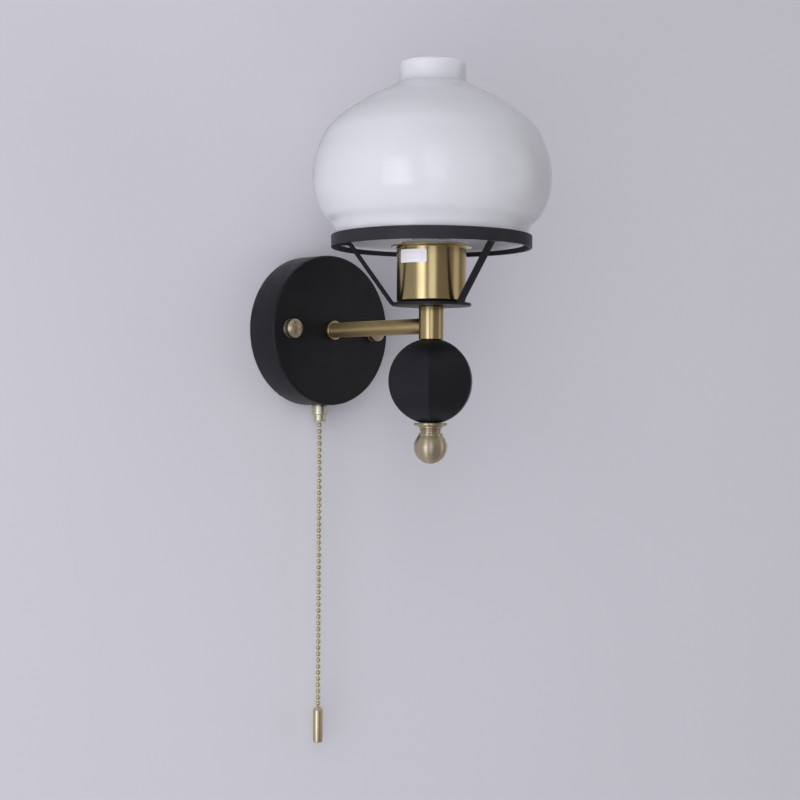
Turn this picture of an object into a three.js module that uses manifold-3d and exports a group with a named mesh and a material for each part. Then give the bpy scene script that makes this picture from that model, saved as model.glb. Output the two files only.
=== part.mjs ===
import * as THREE from 'three';
import { mergeVertices } from 'three/addons/utils/BufferGeometryUtils.js';
import ManifoldModule from 'manifold-3d';

// Wall light: an opal glass shade in an open black gallery over a brass lampholder cup,
// on a brass arm from a round black backplate, with a faceted ball drop, a turned finial
// and a pull-chain switch. Millimetres. The wall is the plane y = 0, the lamp stands out
// along -Y, Z is up, and the origin is the centre of the backplate on the wall.

const wasm = await ManifoldModule();
wasm.setup();

// Clearances
const seatGap = 0.3;
const weldDistance = 0.0005;
const overrun = 1;

// Backplate and its wall bracket
const plateDiameter = 100;
const plateDepth = 25;
const plateWall = 1.2;
const plateEdgeRadius = 1.8;
const bracketEndClearance = 5.8;
const bracketWidth = 20;
const bracketSheet = 1.5;
const bracketCableHole = 12;
const bracketSlotWidth = 4.5;
const bracketSlotLength = 11;
const slotToStud = 7;
const studToBracketEnd = 7;
const studDiameter = 4;
const studNutAcrossFlats = 7;
const studNutHeight = 3.2;
const capNutDiameter = 12.4;
const capNutBarrel = 5.2;
const capNutDome = 2.6;
const capNutGroove = 0.6;
const capNutRim = 1;
const earthScrewOffset = 13;
const earthScrewDrop = 5.8;
const earthHeadDiameter = 6.4;
const earthHeadHeight = 2.2;
const earthThreadDiameter = 3.5;

// Arm
const reach = 120;
const armDiameter = 10;
const armWall = 1;
const armTail = 9;
const collarDiameter = 13;
const collarLength = 3;
const armNutAcrossFlats = 14;
const armNutHeight = 4;
const washerDiameter = 16;
const washerSheet = 1;
const bushingFlange = 1;
const bushingSleeve = 4;

// Stem, threaded pipe and the nut that clamps the gallery and the cup
const stemDiameter = 15.5;
const stemWall = 1.5;
const stemAboveArm = 12.1;
const stemBelowArm = 8.3;
const pipeDiameter = 10;
const pipeBore = 7.2;
const pipeSlotWidth = 6.2;
const pipeSlotBelow = 4;
const pipeSlotAbove = 8;
const pipeNutAcrossFlats = 14;
const pipeNutHeight = 2.7;

// Gallery: base disc with three bent straps and the ring that they carry
const gallerySheet = 1.8;
const discDiameter = 50;
const ringDiameter = 125.6;
const ringWall = 2;
const ringHeight = 7.8;
const ringLift = 36;
const strapCount = 3;
const strapWidth = 5.2;
const strapTabLength = 8.2;
const strapBendRadius = 1.8;
const tabLift = 0.5;

// Lampholder cup and lampholder
const cupDiameter = 43.4;
const cupHeight = 35.3;
const cupWall = 0.9;
const cupLipDiameter = 51;
const cupFloorRadius = 1.8;
const cupFlareRadius = 3;
const holderDiameter = 39;
const holderHeight = 30;
const holderFloor = 4;
const holderEdgeRadius = 1.5;
const socketBore = 29;
const socketShellWall = 0.5;
const socketShellLip = 4;
const contactSheet = 0.6;
const contactWidth = 6;
const contactReach = 8;
const contactRise = 1.6;

// Lamp bulb with a 27 mm screw cap
const bulbCapDiameter = 26.2;
const bulbCapWall = 0.5;
const bulbTipDiameter = 9.5;
const bulbTipHeight = 1.2;
const bulbTipFaceShare = 0.8;
const bulbInsulatorHeight = 4.4;
const bulbCapHeight = 20;
const bulbGlobeDiameter = 45;
const bulbLength = 75;
const bulbGlassWall = 1;

// Shade
const shadeDiameter = 149.2;
const shadeHeight = 113.3;
const shadeWall = 3;
const shadeMouthClearance = 1.1;
const shadeNeckDiameter = 42.2;
const shadeNeckHeight = 11.5;
const shadeRimRadius = 1.4;

// Faceted ball and finial
const ballAcrossFlats = 53;
const ballHeight = 52;
const ballGores = 6;
const ballRidgeTurn = -17;
const finialFlangeDiameter = 21;
const finialFlangeHeight = 2.2;
const finialStepDiameter = 15;
const finialStepHeight = 1.1;
const finialBeadDiameter = 14;
const finialBeadHeight = 2.2;
const finialGrooveDiameter = 12.6;
const finialGrooveHeight = 0.9;
const finialCollarDiameter = 15.4;
const finialBallDiameter = 21;
const finialHeight = 25.3;
const finialBoreDepth = 11;

// Pull switch
const switchNeckDiameter = 8.5;
const switchNeckDrop = 10.8;
const switchNutDiameter = 10.8;
const switchNutHeight = 6.2;
const switchNutEdge = 0.5;
const switchWidth = 18;
const switchDepth = 17;
const switchHeight = 18;
const switchCorner = 2;
const switchChamberDepth = 15;
const switchNeckInside = 3;
const pinDiameter = 2.6;
const pinHeadDiameter = 7.6;
const pinHeadHeight = 1.4;
const pinBore = 3.4;
const springWire = 0.8;
const springDiameter = 5.6;
const springLength = 9;
const springTurns = 4;

// Pull chain and its weight
const swivelGap = 0.5;
const beadDiameter = 3.2;
const beadPitch = 4.16;
const beadCount = 46;
const weightDiameter = 6.5;
const weightLength = 23.5;
const weightShoulder = 2;
const weightMouthDiameter = 3.8;
const weightBaseRadius = 0.6;

// Terminal block and wires
const terminalWays = 3;
const terminalPitch = 8;
const terminalHeight = 16;
const terminalDepth = 12;
const terminalClearance = 14;
const terminalBore = 3.4;
const terminalWell = 3.6;
const terminalWellDepth = 7;
const wireDiameter = 2;
const wirePitch = 3.6;
const wireSweep = 6;

// How many straight faces stand for a round one
const wideSides = 36;
const roundSides = 24;
const smallSides = 16;
const wireSides = 6;
const beadSides = 8;
const arcSteps = 4;
const bendSteps = 2;
const shadeSteps = 16;

const quarterTurn = Math.PI / 2;
const fullTurn = 2 * Math.PI;

// Finishes
const blackPaint = { color: 0x202023, roughness: 0.55, metalness: 0 };
const satinBrass = { color: 0xb5975f, roughness: 0.28, metalness: 1 };
const paleBrass = { color: 0xc9bd93, roughness: 0.3, metalness: 1 };
const zincSteel = { color: 0xa9adb0, roughness: 0.4, metalness: 1 };
const opalGlass = { color: 0xe6e7ea, roughness: 0.12, metalness: 0 };
const frostedGlass = { color: 0xf2f0ea, roughness: 0.35, metalness: 0 };
const glazedCeramic = { color: 0xf1f0ec, roughness: 0.2, metalness: 0 };
const whiteNylon = { color: 0xe9e8e2, roughness: 0.5, metalness: 0 };
const blackMoulding = { color: 0x17171a, roughness: 0.4, metalness: 0 };
const brownWire = { color: 0x5d3a26, roughness: 0.5, metalness: 0 };
const blueWire = { color: 0x2f5c98, roughness: 0.5, metalness: 0 };
const earthWireGreen = { color: 0x5f9a3a, roughness: 0.5, metalness: 0 };

// Signed volume of a triangle list, negative when its faces point inwards
function signedVolume(place, corners) {
  const a = new THREE.Vector3();
  const b = new THREE.Vector3();
  const c = new THREE.Vector3();
  let sum = 0;
  for (let i = 0; i < corners.length; i += 3) {
    a.fromArray(place, 3 * corners[i]);
    b.fromArray(place, 3 * corners[i + 1]);
    c.fromArray(place, 3 * corners[i + 2]);
    sum += a.dot(b.cross(c));
  }
  return sum;
}

// A geometry as a solid: corners welded, collapsed triangles dropped, faces outwards
function solid(geometry) {
  const bare = geometry.clone();
  for (const name of Object.keys(bare.attributes)) {
    if (name !== 'position') bare.deleteAttribute(name);
  }
  const welded = mergeVertices(bare, weldDistance);
  const place = welded.attributes.position.array;
  const corners = welded.index.array;
  const kept = [];
  for (let i = 0; i < corners.length; i += 3) {
    const [a, b, c] = [corners[i], corners[i + 1], corners[i + 2]];
    if (a !== b && b !== c && c !== a) kept.push(a, b, c);
  }
  if (signedVolume(place, kept) < 0) kept.reverse();
  const mesh = new wasm.Mesh({ numProp: 3, vertProperties: place, triVerts: new Uint32Array(kept) });
  return new wasm.Manifold(mesh);
}

// A solid back as a geometry that a mesh can hold
function geometryOf(body) {
  const mesh = body.getMesh();
  const geometry = new THREE.BufferGeometry();
  geometry.setAttribute('position', new THREE.BufferAttribute(mesh.vertProperties, 3));
  geometry.setIndex(new THREE.BufferAttribute(mesh.triVerts, 1));
  geometry.computeVertexNormals();
  return geometry;
}

// Cuts each tool out of a solid
function cut(body, ...tools) {
  return tools.reduce((left, tool) => left.subtract(solid(tool)), body);
}

// Adds the body to a group as a named mesh with its own material
function place(group, name, body, finish) {
  const mesh = new THREE.Mesh(geometryOf(body), new THREE.MeshStandardMaterial(finish));
  mesh.name = name;
  group.add(mesh);
  return mesh;
}

// A line of points whose third value is the radius of the bend at that point
function rounded(points, steps = bendSteps) {
  const out = [];
  points.forEach(([x, y, radius], i) => {
    if (!radius) {
      out.push([x, y]);
      return;
    }
    const corner = new THREE.Vector2(x, y);
    const back = new THREE.Vector2(points[i - 1][0], points[i - 1][1]).sub(corner);
    const ahead = new THREE.Vector2(points[i + 1][0], points[i + 1][1]).sub(corner);
    const half = back.angleTo(ahead) / 2;
    const reachOut = Math.min(radius / Math.tan(half), back.length() / 2, ahead.length() / 2);
    const start = corner.clone().addScaledVector(back.normalize(), reachOut);
    const end = corner.clone().addScaledVector(ahead.normalize(), reachOut);
    const bend = new THREE.QuadraticBezierCurve(start, corner, end);
    for (const p of bend.getPoints(steps)) out.push([p.x, p.y]);
  });
  return out;
}

// A body turned about Z from a profile of [radius, height] points
function turned(profile, sides = roundSides) {
  const points = profile.map(([radius, height]) => new THREE.Vector2(radius, height));
  return solid(new THREE.LatheGeometry(points, sides).rotateX(quarterTurn));
}

// A turned ring or tube: the profile closes on itself
function turnedRing(profile, sides = roundSides) {
  return turned([...profile, profile[0]], sides);
}

// A plain tube about Z
function tube(outer, inner, low, high, sides = roundSides) {
  return turnedRing([[inner / 2, low], [outer / 2, low], [outer / 2, high], [inner / 2, high]], sides);
}

// A round pin about Z, for cutting or for a solid
function pin(diameter, low, high, sides = smallSides) {
  const body = new THREE.CylinderGeometry(diameter / 2, diameter / 2, high - low, sides);
  return body.rotateX(quarterTurn).translate(0, 0, (low + high) / 2);
}

// A rectangular block between two corners
function block(low, high) {
  const size = high.map((value, i) => value - low[i]);
  const middle = high.map((value, i) => (value + low[i]) / 2);
  return new THREE.BoxGeometry(...size).translate(...middle);
}

// A flat outline pushed up along Z
function extruded(shape, low, high, curveSegments = smallSides / 2) {
  const options = { depth: high - low, bevelEnabled: false, curveSegments };
  return new THREE.ExtrudeGeometry(shape, options).translate(0, 0, low);
}

// A shape with round ends along X, centred on x
function slotPath(Path, x, length, width) {
  const path = new Path();
  const straight = (length - width) / 2;
  path.absarc(x + straight, 0, width / 2, -quarterTurn, quarterTurn, false);
  path.absarc(x - straight, 0, width / 2, quarterTurn, 3 * quarterTurn, false);
  path.closePath();
  return path;
}

// A hexagon nut about Z with a plain bore
function hexNut(acrossFlats, bore, low, high) {
  const shape = new THREE.Shape();
  const corner = acrossFlats / 2 / Math.cos(Math.PI / 6);
  for (let i = 0; i < 6; i += 1) {
    const angle = (i * Math.PI) / 3;
    const [x, y] = [corner * Math.cos(angle), corner * Math.sin(angle)];
    if (i === 0) shape.moveTo(x, y);
    else shape.lineTo(x, y);
  }
  shape.closePath();
  const hole = new THREE.Path();
  hole.absarc(0, 0, bore / 2, 0, fullTurn, true);
  shape.holes.push(hole);
  return solid(extruded(shape, low, high));
}

// A wire of round section along hand-placed points
function wire(points) {
  const section = new THREE.Shape();
  section.absarc(0, 0, wireDiameter / 2, 0, fullTurn, false);
  const path = new THREE.CatmullRomCurve3(points, false, 'centripetal');
  const steps = Math.round(path.getLength() / (3 * wireDiameter));
  const options = { steps, curveSegments: wireSides / 2, extrudePath: path, bevelEnabled: false };
  return solid(new THREE.ExtrudeGeometry(section, options));
}

// Places across the wall bracket
const bracketLength = plateDiameter - 2 * (plateWall + bracketEndClearance);
const studSpacing = bracketLength - 2 * studToBracketEnd;
const bracketSlotEnd = studSpacing / 2 - slotToStud;
const bracketSlotStart = bracketSlotEnd - bracketSlotLength;

// Places along the arm's axis, counted out from the wall
const plateInside = plateDepth - plateWall;
const washerBack = plateInside - seatGap - washerSheet;
const armNutFront = washerBack - seatGap;
const armNutBack = armNutFront - armNutHeight;
const armBack = plateInside - armTail;
const terminalLift = plateDiameter / 2 - terminalClearance - terminalHeight;
const armFront = reach - pipeDiameter / 2 - 2 * seatGap;
const collarBack = plateDepth + seatGap;

// Heights on the stem's axis
const stemTop = stemAboveArm;
const stemBottom = -stemBelowArm;
const discBottom = stemTop + seatGap;
const discTop = discBottom + gallerySheet;
const cupBottom = discTop + seatGap;
const cupTop = cupBottom + cupHeight;
const pipeNutBottom = cupBottom + cupWall + seatGap;
const pipeNutTop = pipeNutBottom + pipeNutHeight;
const holderBottom = pipeNutTop + seatGap;
const holderFloorTop = holderBottom + holderFloor;
const holderTop = holderBottom + holderHeight;
const pipeTop = holderFloorTop - seatGap;
const shellBottom = holderFloorTop + seatGap;
const contactTop = shellBottom + contactSheet + contactRise;
const bulbBottom = contactTop + seatGap;
const tabEnd = ringDiameter / 2 - ringWall - 2 * seatGap;
const ringBottom = discBottom + ringLift;
const ringTop = ringBottom + ringHeight;
const tabBottom = ringBottom + tabLift;
const tabTop = tabBottom + gallerySheet;
const shadeBottom = tabTop + seatGap;
const shadeMouthDiameter = ringDiameter - 2 * (ringWall + shadeMouthClearance);
const ballTop = stemBottom - seatGap;
const ballMiddle = ballTop - ballHeight / 2;
const ballBottom = ballTop - ballHeight;
const finialTop = ballBottom - seatGap;

// Heights on the pull switch's axis
const plateBottom = -plateDiameter / 2;
const plateInsideRadius = plateDiameter / 2 - plateWall;
const switchBottom = seatGap - Math.sqrt(plateInsideRadius ** 2 - (switchWidth / 2) ** 2);
const switchTop = switchBottom + switchHeight;
const neckBottom = plateBottom - switchNeckDrop;
const neckTop = switchBottom + switchNeckInside;
const springBottom = neckTop + seatGap;
const springTop = springBottom + springLength;
const pinHeadBottom = springTop + seatGap;
const pinBottom = neckBottom;
const chainTop = pinBottom - swivelGap;
const chainBottom = chainTop - beadCount * beadPitch;
const weightTop = chainBottom - seatGap;

// Groups: wall parts have Z out of the wall, lamp parts stand on the stem's axis
const wallLight = new THREE.Group();
const wallParts = new THREE.Group();
wallParts.rotation.x = quarterTurn;
const lampParts = new THREE.Group();
lampParts.position.y = -reach;
const switchParts = new THREE.Group();
switchParts.position.y = -plateDepth / 2;
wallLight.add(wallParts, lampParts, switchParts);

// Slotted steel strap that is screwed to the wall
function bracketBody() {
  const outline = new THREE.Shape();
  const [halfLength, halfWidth] = [bracketLength / 2, bracketWidth / 2];
  const corner = halfWidth / 2;
  outline.moveTo(-halfLength + corner, -halfWidth);
  outline.lineTo(halfLength - corner, -halfWidth);
  outline.quadraticCurveTo(halfLength, -halfWidth, halfLength, -halfWidth + corner);
  outline.lineTo(halfLength, halfWidth - corner);
  outline.quadraticCurveTo(halfLength, halfWidth, halfLength - corner, halfWidth);
  outline.lineTo(-halfLength + corner, halfWidth);
  outline.quadraticCurveTo(-halfLength, halfWidth, -halfLength, halfWidth - corner);
  outline.lineTo(-halfLength, -halfWidth + corner);
  outline.quadraticCurveTo(-halfLength, -halfWidth, -halfLength + corner, -halfWidth);
  const round = (x, diameter) => slotPath(THREE.Path, x, diameter, diameter);
  const slotMiddle = (bracketSlotStart + bracketSlotEnd) / 2;
  const slotLength = bracketSlotEnd - bracketSlotStart;
  outline.holes.push(
    round(0, bracketCableHole),
    slotPath(THREE.Path, slotMiddle, slotLength, bracketSlotWidth),
    slotPath(THREE.Path, -slotMiddle, slotLength, bracketSlotWidth),
    round(studSpacing / 2, studDiameter + 2 * seatGap),
    round(-studSpacing / 2, studDiameter + 2 * seatGap),
  );
  const earthHole = pin(earthThreadDiameter + 2 * seatGap, -overrun, bracketSheet + overrun);
  earthHole.translate(earthScrewOffset, -earthScrewDrop, 0);
  return cut(solid(extruded(outline, 0, bracketSheet, arcSteps)), earthHole);
}

// Spun drum, open to the wall, with holes for the arm, the studs and the switch
function backplateBody() {
  const [outer, inner] = [plateDiameter / 2, plateInsideRadius];
  const innerBend = Math.max(plateEdgeRadius - plateWall, plateEdgeRadius / 4);
  const profile = rounded([
    [0, plateInside],
    [inner, plateInside, innerBend],
    [inner, 0],
    [outer, 0],
    [outer, plateDepth, plateEdgeRadius],
    [0, plateDepth],
  ]);
  const studHole = studDiameter + 2 * seatGap;
  const [low, high] = [plateInside - overrun, plateDepth + overrun];
  const neckHole = pin(switchNeckDiameter + 2 * seatGap, inner - 2 * plateWall, outer + overrun);
  neckHole.rotateX(quarterTurn).translate(0, 0, plateDepth / 2);
  return cut(
    turned(profile, wideSides),
    pin(armDiameter + 2 * seatGap, low, high),
    pin(studHole, low, high).translate(studSpacing / 2, 0, 0),
    pin(studHole, low, high).translate(-studSpacing / 2, 0, 0),
    neckHole,
  );
}

// Domed nut: a rim against the plate, a groove, a barrel and a low dome over a blind bore
function capNutBody() {
  const radius = capNutDiameter / 2;
  const low = plateDepth + seatGap;
  const barrel = low + capNutBarrel;
  const bore = studDiameter / 2 + seatGap;
  return turned([
    [0, barrel],
    [bore, barrel],
    [bore, low],
    ...rounded([
      [radius, low],
      [radius, low + capNutRim],
      [radius - capNutGroove, low + capNutRim],
      [radius - capNutGroove, low + capNutRim + capNutGroove],
      [radius, low + capNutRim + capNutGroove],
      [radius, barrel],
    ]),
    ...domePoints(radius, barrel, capNutDome),
  ], smallSides);
}

// Points of a low dome, from its edge in to the axis
function domePoints(radius, low, rise) {
  const out = [];
  for (let i = 1; i <= arcSteps + 1; i += 1) {
    const angle = (i * quarterTurn) / (arcSteps + 1);
    out.push([radius * Math.cos(angle), low + rise * Math.sin(angle)]);
  }
  out[out.length - 1][0] = 0;
  return out;
}

function addWallFixings() {
  place(wallParts, 'wall_bracket', bracketBody(), zincSteel);
  place(wallParts, 'backplate', backplateBody(), blackPaint);
  const nutLow = bracketSheet + seatGap;
  const studHigh = plateDepth + seatGap + capNutBarrel - seatGap;
  for (const [side, sign] of [['left', -1], ['right', 1]]) {
    const x = (sign * studSpacing) / 2;
    const stud = place(wallParts, `bracket_stud_${side}`, solid(pin(studDiameter, 0, studHigh)), zincSteel);
    const nutBore = studDiameter + 2 * seatGap;
    const nutBody = hexNut(studNutAcrossFlats, nutBore, nutLow, nutLow + studNutHeight);
    const nut = place(wallParts, `stud_nut_${side}`, nutBody, zincSteel);
    const cap = place(wallParts, `cap_nut_${side}`, capNutBody(), satinBrass);
    for (const piece of [stud, nut, cap]) piece.position.x = x;
  }
}

// Pan-head screw that bonds the earth wire to the bracket
function earthScrewBody() {
  const low = bracketSheet + seatGap;
  return turned([
    [0, 0],
    [earthThreadDiameter / 2, 0],
    [earthThreadDiameter / 2, low],
    [earthHeadDiameter / 2, low],
    [earthHeadDiameter / 2, low + earthHeadHeight / 2],
    [earthHeadDiameter / 3, low + earthHeadHeight],
    [0, low + earthHeadHeight],
  ], smallSides);
}

// Strip connector: bores for the wires, and screw wells that open towards the wall
function terminalBody() {
  const half = (terminalWays * terminalPitch) / 2;
  const front = plateInside - seatGap;
  const back = front - terminalDepth;
  const body = solid(block([-half, terminalLift, back], [half, terminalLift + terminalHeight, front]));
  const tools = [];
  for (let i = 0; i < terminalWays; i += 1) {
    const x = (i - (terminalWays - 1) / 2) * terminalPitch;
    const bore = pin(terminalBore, -overrun, terminalHeight + overrun, beadSides);
    tools.push(bore.rotateX(-quarterTurn).translate(x, terminalLift, (front + back) / 2));
    for (const share of [1 / 4, 3 / 4]) {
      const well = pin(terminalWell, back - overrun, back + terminalWellDepth, beadSides);
      tools.push(well.translate(x, terminalLift + share * terminalHeight, 0));
    }
  }
  return cut(body, ...tools);
}

function addWallElectrics() {
  const screw = place(wallParts, 'earth_screw', earthScrewBody(), satinBrass);
  screw.position.set(earthScrewOffset, -earthScrewDrop, 0);
  place(wallParts, 'terminal_block', terminalBody(), whiteNylon);
}

// Washer with a ring of teeth that bite the plate
function lockWasherBody() {
  const shape = new THREE.Shape();
  const teeth = 12;
  const outer = washerDiameter / 2;
  const root = outer - washerSheet;
  for (let i = 0; i < 2 * teeth; i += 1) {
    const angle = (i * Math.PI) / teeth;
    const radius = i % 2 ? root : outer;
    const [x, y] = [radius * Math.cos(angle), radius * Math.sin(angle)];
    if (i === 0) shape.moveTo(x, y);
    else shape.lineTo(x, y);
  }
  shape.closePath();
  const hole = new THREE.Path();
  hole.absarc(0, 0, armDiameter / 2 + seatGap, 0, fullTurn, true);
  shape.holes.push(hole);
  return solid(extruded(shape, washerBack, washerBack + washerSheet));
}

function addArm() {
  const bore = armDiameter - 2 * armWall;
  const clear = armDiameter + 2 * seatGap;
  place(wallParts, 'arm_tube', tube(armDiameter, bore, armBack, armFront), satinBrass);
  const collar = rounded([
    [clear / 2, collarBack],
    [collarDiameter / 2, collarBack],
    [collarDiameter / 2, collarBack + collarLength, collarLength / 3],
    [clear / 2, collarBack + collarLength],
  ]);
  place(wallParts, 'arm_collar', turnedRing(collar), satinBrass);
  place(wallParts, 'arm_lock_washer', lockWasherBody(), zincSteel);
  place(wallParts, 'arm_locknut', hexNut(armNutAcrossFlats, clear, armNutBack, armNutFront), zincSteel);
  const sleeve = bore / 2 - seatGap;
  const throat = sleeve - armWall / 2;
  const bushingFront = armBack - seatGap;
  place(wallParts, 'wire_bushing', turnedRing([
    [throat, bushingFront - bushingFlange],
    [armDiameter / 2, bushingFront - bushingFlange],
    [armDiameter / 2, bushingFront],
    [sleeve, bushingFront],
    [sleeve, bushingFront + bushingSleeve],
    [throat, bushingFront + bushingSleeve],
  ], smallSides), whiteNylon);
}

// Stem sleeve with the side hole that takes the arm
function stemBody() {
  const armHole = pin(armDiameter + 2 * seatGap, 0, stemDiameter).rotateX(-quarterTurn);
  return cut(tube(stemDiameter, stemDiameter - 2 * stemWall, stemBottom, stemTop), armHole);
}

// Hollow threaded pipe from the finial to the lampholder, slotted where the wires come in
function pipeBody() {
  const low = finialTop - finialBoreDepth + 2 * seatGap;
  const slot = block(
    [-pipeSlotWidth / 2, 0, -pipeSlotBelow],
    [pipeSlotWidth / 2, pipeDiameter, pipeSlotAbove],
  );
  return cut(tube(pipeDiameter, pipeBore, low, pipeTop), slot);
}

function addStem() {
  place(lampParts, 'stem_tube', stemBody(), satinBrass);
  place(lampParts, 'threaded_pipe', pipeBody(), zincSteel);
  const bore = pipeDiameter + 2 * seatGap;
  place(lampParts, 'pipe_locknut', hexNut(pipeNutAcrossFlats, bore, pipeNutBottom, pipeNutTop), zincSteel);
}

// Outline of a bent flat strip of even thickness along a centre line in the radial plane
function stripOutline(centre, thickness) {
  const points = centre.map(([x, y]) => new THREE.Vector2(x, y));
  const sideOf = (sign) => points.map((point, i) => {
    const before = i ? point.clone().sub(points[i - 1]).normalize() : null;
    const after = i < points.length - 1 ? points[i + 1].clone().sub(point).normalize() : null;
    const along = (before ?? after).clone().add(after ?? before).normalize();
    const spread = 1 / along.dot(after ?? before);
    const across = new THREE.Vector2(-along.y, along.x);
    return point.clone().addScaledVector(across, (sign * spread * thickness) / 2);
  });
  return new THREE.Shape([...sideOf(1), ...sideOf(-1).reverse()]);
}

// One strap: out along the disc, up to the ring, and out again as a tab under the glass
function strapBody(angle) {
  const discMiddle = (discBottom + discTop) / 2;
  const tabMiddle = (tabBottom + tabTop) / 2;
  const discRadius = discDiameter / 2;
  const centre = rounded([
    [discRadius - strapWidth, discMiddle],
    [discRadius, discMiddle, strapBendRadius],
    [tabEnd - strapTabLength, tabMiddle, strapBendRadius],
    [tabEnd, tabMiddle],
  ]);
  const outline = stripOutline(centre, gallerySheet);
  const strip = extruded(outline, -strapWidth / 2, strapWidth / 2);
  return solid(strip.rotateX(quarterTurn).rotateZ(angle));
}

// Gallery base: the disc and its straps, cut from one sheet
function galleryBody() {
  let body = tube(discDiameter, pipeDiameter + 2 * seatGap, discBottom, discTop, wideSides);
  for (let i = 0; i < strapCount; i += 1) {
    body = body.add(strapBody(-quarterTurn + (i * fullTurn) / strapCount));
  }
  return body;
}

function addGallery() {
  place(lampParts, 'gallery_frame', galleryBody(), blackPaint);
  const ring = tube(ringDiameter, ringDiameter - 2 * ringWall, ringBottom, ringTop, wideSides);
  place(lampParts, 'gallery_ring', ring, blackPaint);
}

// Drawn brass cup with a rolled-out lip
function cupBody() {
  const [outer, lip] = [cupDiameter / 2, cupLipDiameter / 2];
  const inner = outer - cupWall;
  const bore = pipeDiameter / 2 + seatGap;
  return turnedRing(rounded([
    [bore, cupBottom],
    [outer, cupBottom, cupFloorRadius],
    [outer, cupTop - cupWall, cupFlareRadius],
    [lip, cupTop - cupWall],
    [lip, cupTop],
    [inner, cupTop, cupFlareRadius + cupWall],
    [inner, cupBottom + cupWall, cupFloorRadius - cupWall / 2],
    [bore, cupBottom + cupWall],
  ]));
}

// Ceramic lampholder: a floor on the pipe and a wall round the screw shell
function holderBody() {
  const bore = pipeDiameter / 2 + seatGap;
  return turnedRing(rounded([
    [bore, holderBottom],
    [holderDiameter / 2, holderBottom, holderEdgeRadius],
    [holderDiameter / 2, holderTop, holderEdgeRadius],
    [socketBore / 2, holderTop, holderEdgeRadius / 2],
    [socketBore / 2, holderFloorTop],
    [bore, holderFloorTop],
  ]));
}

// Screw shell with a turned-in foot and a tab that takes the neutral wire
function shellBody() {
  const outer = socketBore / 2 - seatGap;
  const inner = outer - socketShellWall;
  const foot = outer - socketShellLip;
  const footTop = shellBottom + contactSheet;
  const high = holderTop - holderEdgeRadius;
  const ring = turnedRing([
    [foot, shellBottom],
    [outer, shellBottom],
    [outer, high],
    [inner, high],
    [inner, footTop],
    [foot, footTop],
  ]);
  const tab = block(
    [-foot - socketShellLip / 2, -contactWidth / 2, shellBottom],
    [-wireDiameter / 2, contactWidth / 2, footTop],
  );
  return ring.add(solid(tab));
}

// Spring leaf that meets the tip of the lamp bulb
function contactBody() {
  const outline = stripOutline([
    [contactReach, shellBottom + contactSheet / 2],
    [contactWidth / 2, shellBottom + contactSheet / 2],
    [wireDiameter, contactTop - contactSheet / 2],
    [0, contactTop - contactSheet / 2],
  ], contactSheet);
  return solid(extruded(outline, -contactWidth / 3, contactWidth / 3).rotateX(quarterTurn));
}

function addLampholder() {
  place(lampParts, 'lampholder_cup', cupBody(), satinBrass);
  place(lampParts, 'lampholder_body', holderBody(), glazedCeramic);
  place(lampParts, 'screw_shell', shellBody(), paleBrass);
  place(lampParts, 'centre_contact', contactBody(), paleBrass);
}

// Lamp bulb: tip and insulator, screw cap, and a globe that is open inside the cap
function addBulb() {
  const tipTop = bulbBottom + bulbTipHeight;
  const capBottom = tipTop + bulbInsulatorHeight;
  const capTop = capBottom + bulbCapHeight;
  const capRadius = bulbCapDiameter / 2;
  const tip = bulbTipDiameter / 2;
  const insulator = turned([
    [0, bulbBottom],
    [tip * bulbTipFaceShare, bulbBottom],
    [tip, tipTop],
    [capRadius - bulbInsulatorHeight / 2, capBottom - seatGap],
    [0, capBottom - seatGap],
  ]);
  place(lampParts, 'bulb_insulator', insulator, blackMoulding);
  const throat = capRadius - bulbCapWall;
  const foot = capRadius - bulbInsulatorHeight / 2;
  const cap = turnedRing([
    [foot - bulbCapWall, capBottom],
    [foot, capBottom],
    [capRadius, capBottom + bulbCapWall * 2],
    [capRadius, capTop],
    [throat, capTop],
    [throat, capBottom + bulbCapWall * 2],
  ]);
  place(lampParts, 'bulb_cap', cap, zincSteel);
  place(lampParts, 'bulb_globe', globeBody(throat - seatGap, capTop), frostedGlass);
}

// Glass globe with a short neck that stands in the cap
function globeBody(neck, capTop) {
  const radius = bulbGlobeDiameter / 2;
  const top = bulbBottom + bulbLength;
  const middle = top - radius;
  const start = Math.asin((neck + bulbGlassWall) / radius);
  const arc = (size, from, to, steps) => {
    const out = [];
    for (let i = 0; i <= steps; i += 1) {
      const angle = from + ((to - from) * i) / steps;
      out.push([size * Math.sin(angle), middle - size * Math.cos(angle)]);
    }
    return out;
  };
  const steps = 2 * arcSteps;
  const outside = arc(radius, start, Math.PI, steps);
  const inside = arc(radius - bulbGlassWall, Math.PI, start, steps);
  outside[outside.length - 1][0] = 0;
  inside[0][0] = 0;
  const [low, sunk] = [neck, capTop - bulbCapHeight / 4];
  return turned([
    ...inside,
    [low - bulbGlassWall, sunk],
    [low, sunk],
    [low, capTop + seatGap],
    ...outside,
  ]);
}

// Shade outline between mouth and neck: height as a share of the body, radius as a share of
// the way from the mouth's radius to the widest radius, then from the neck's radius to it
const lowerShadeShares = [
  [0, 0],
  [0.055, 0.015],
  [0.115, 0.16],
  [0.17, 0.52],
  [0.24, 0.79],
  [0.32, 0.96],
];
const widestShare = 0.41;
const upperShadeShares = [
  [0.505, 0.984],
  [0.602, 0.926],
  [0.69, 0.845],
  [0.769, 0.702],
  [0.838, 0.52],
  [0.897, 0.345],
  [0.941, 0.173],
  [0.975, 0.055],
  [1, 0],
];

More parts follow.
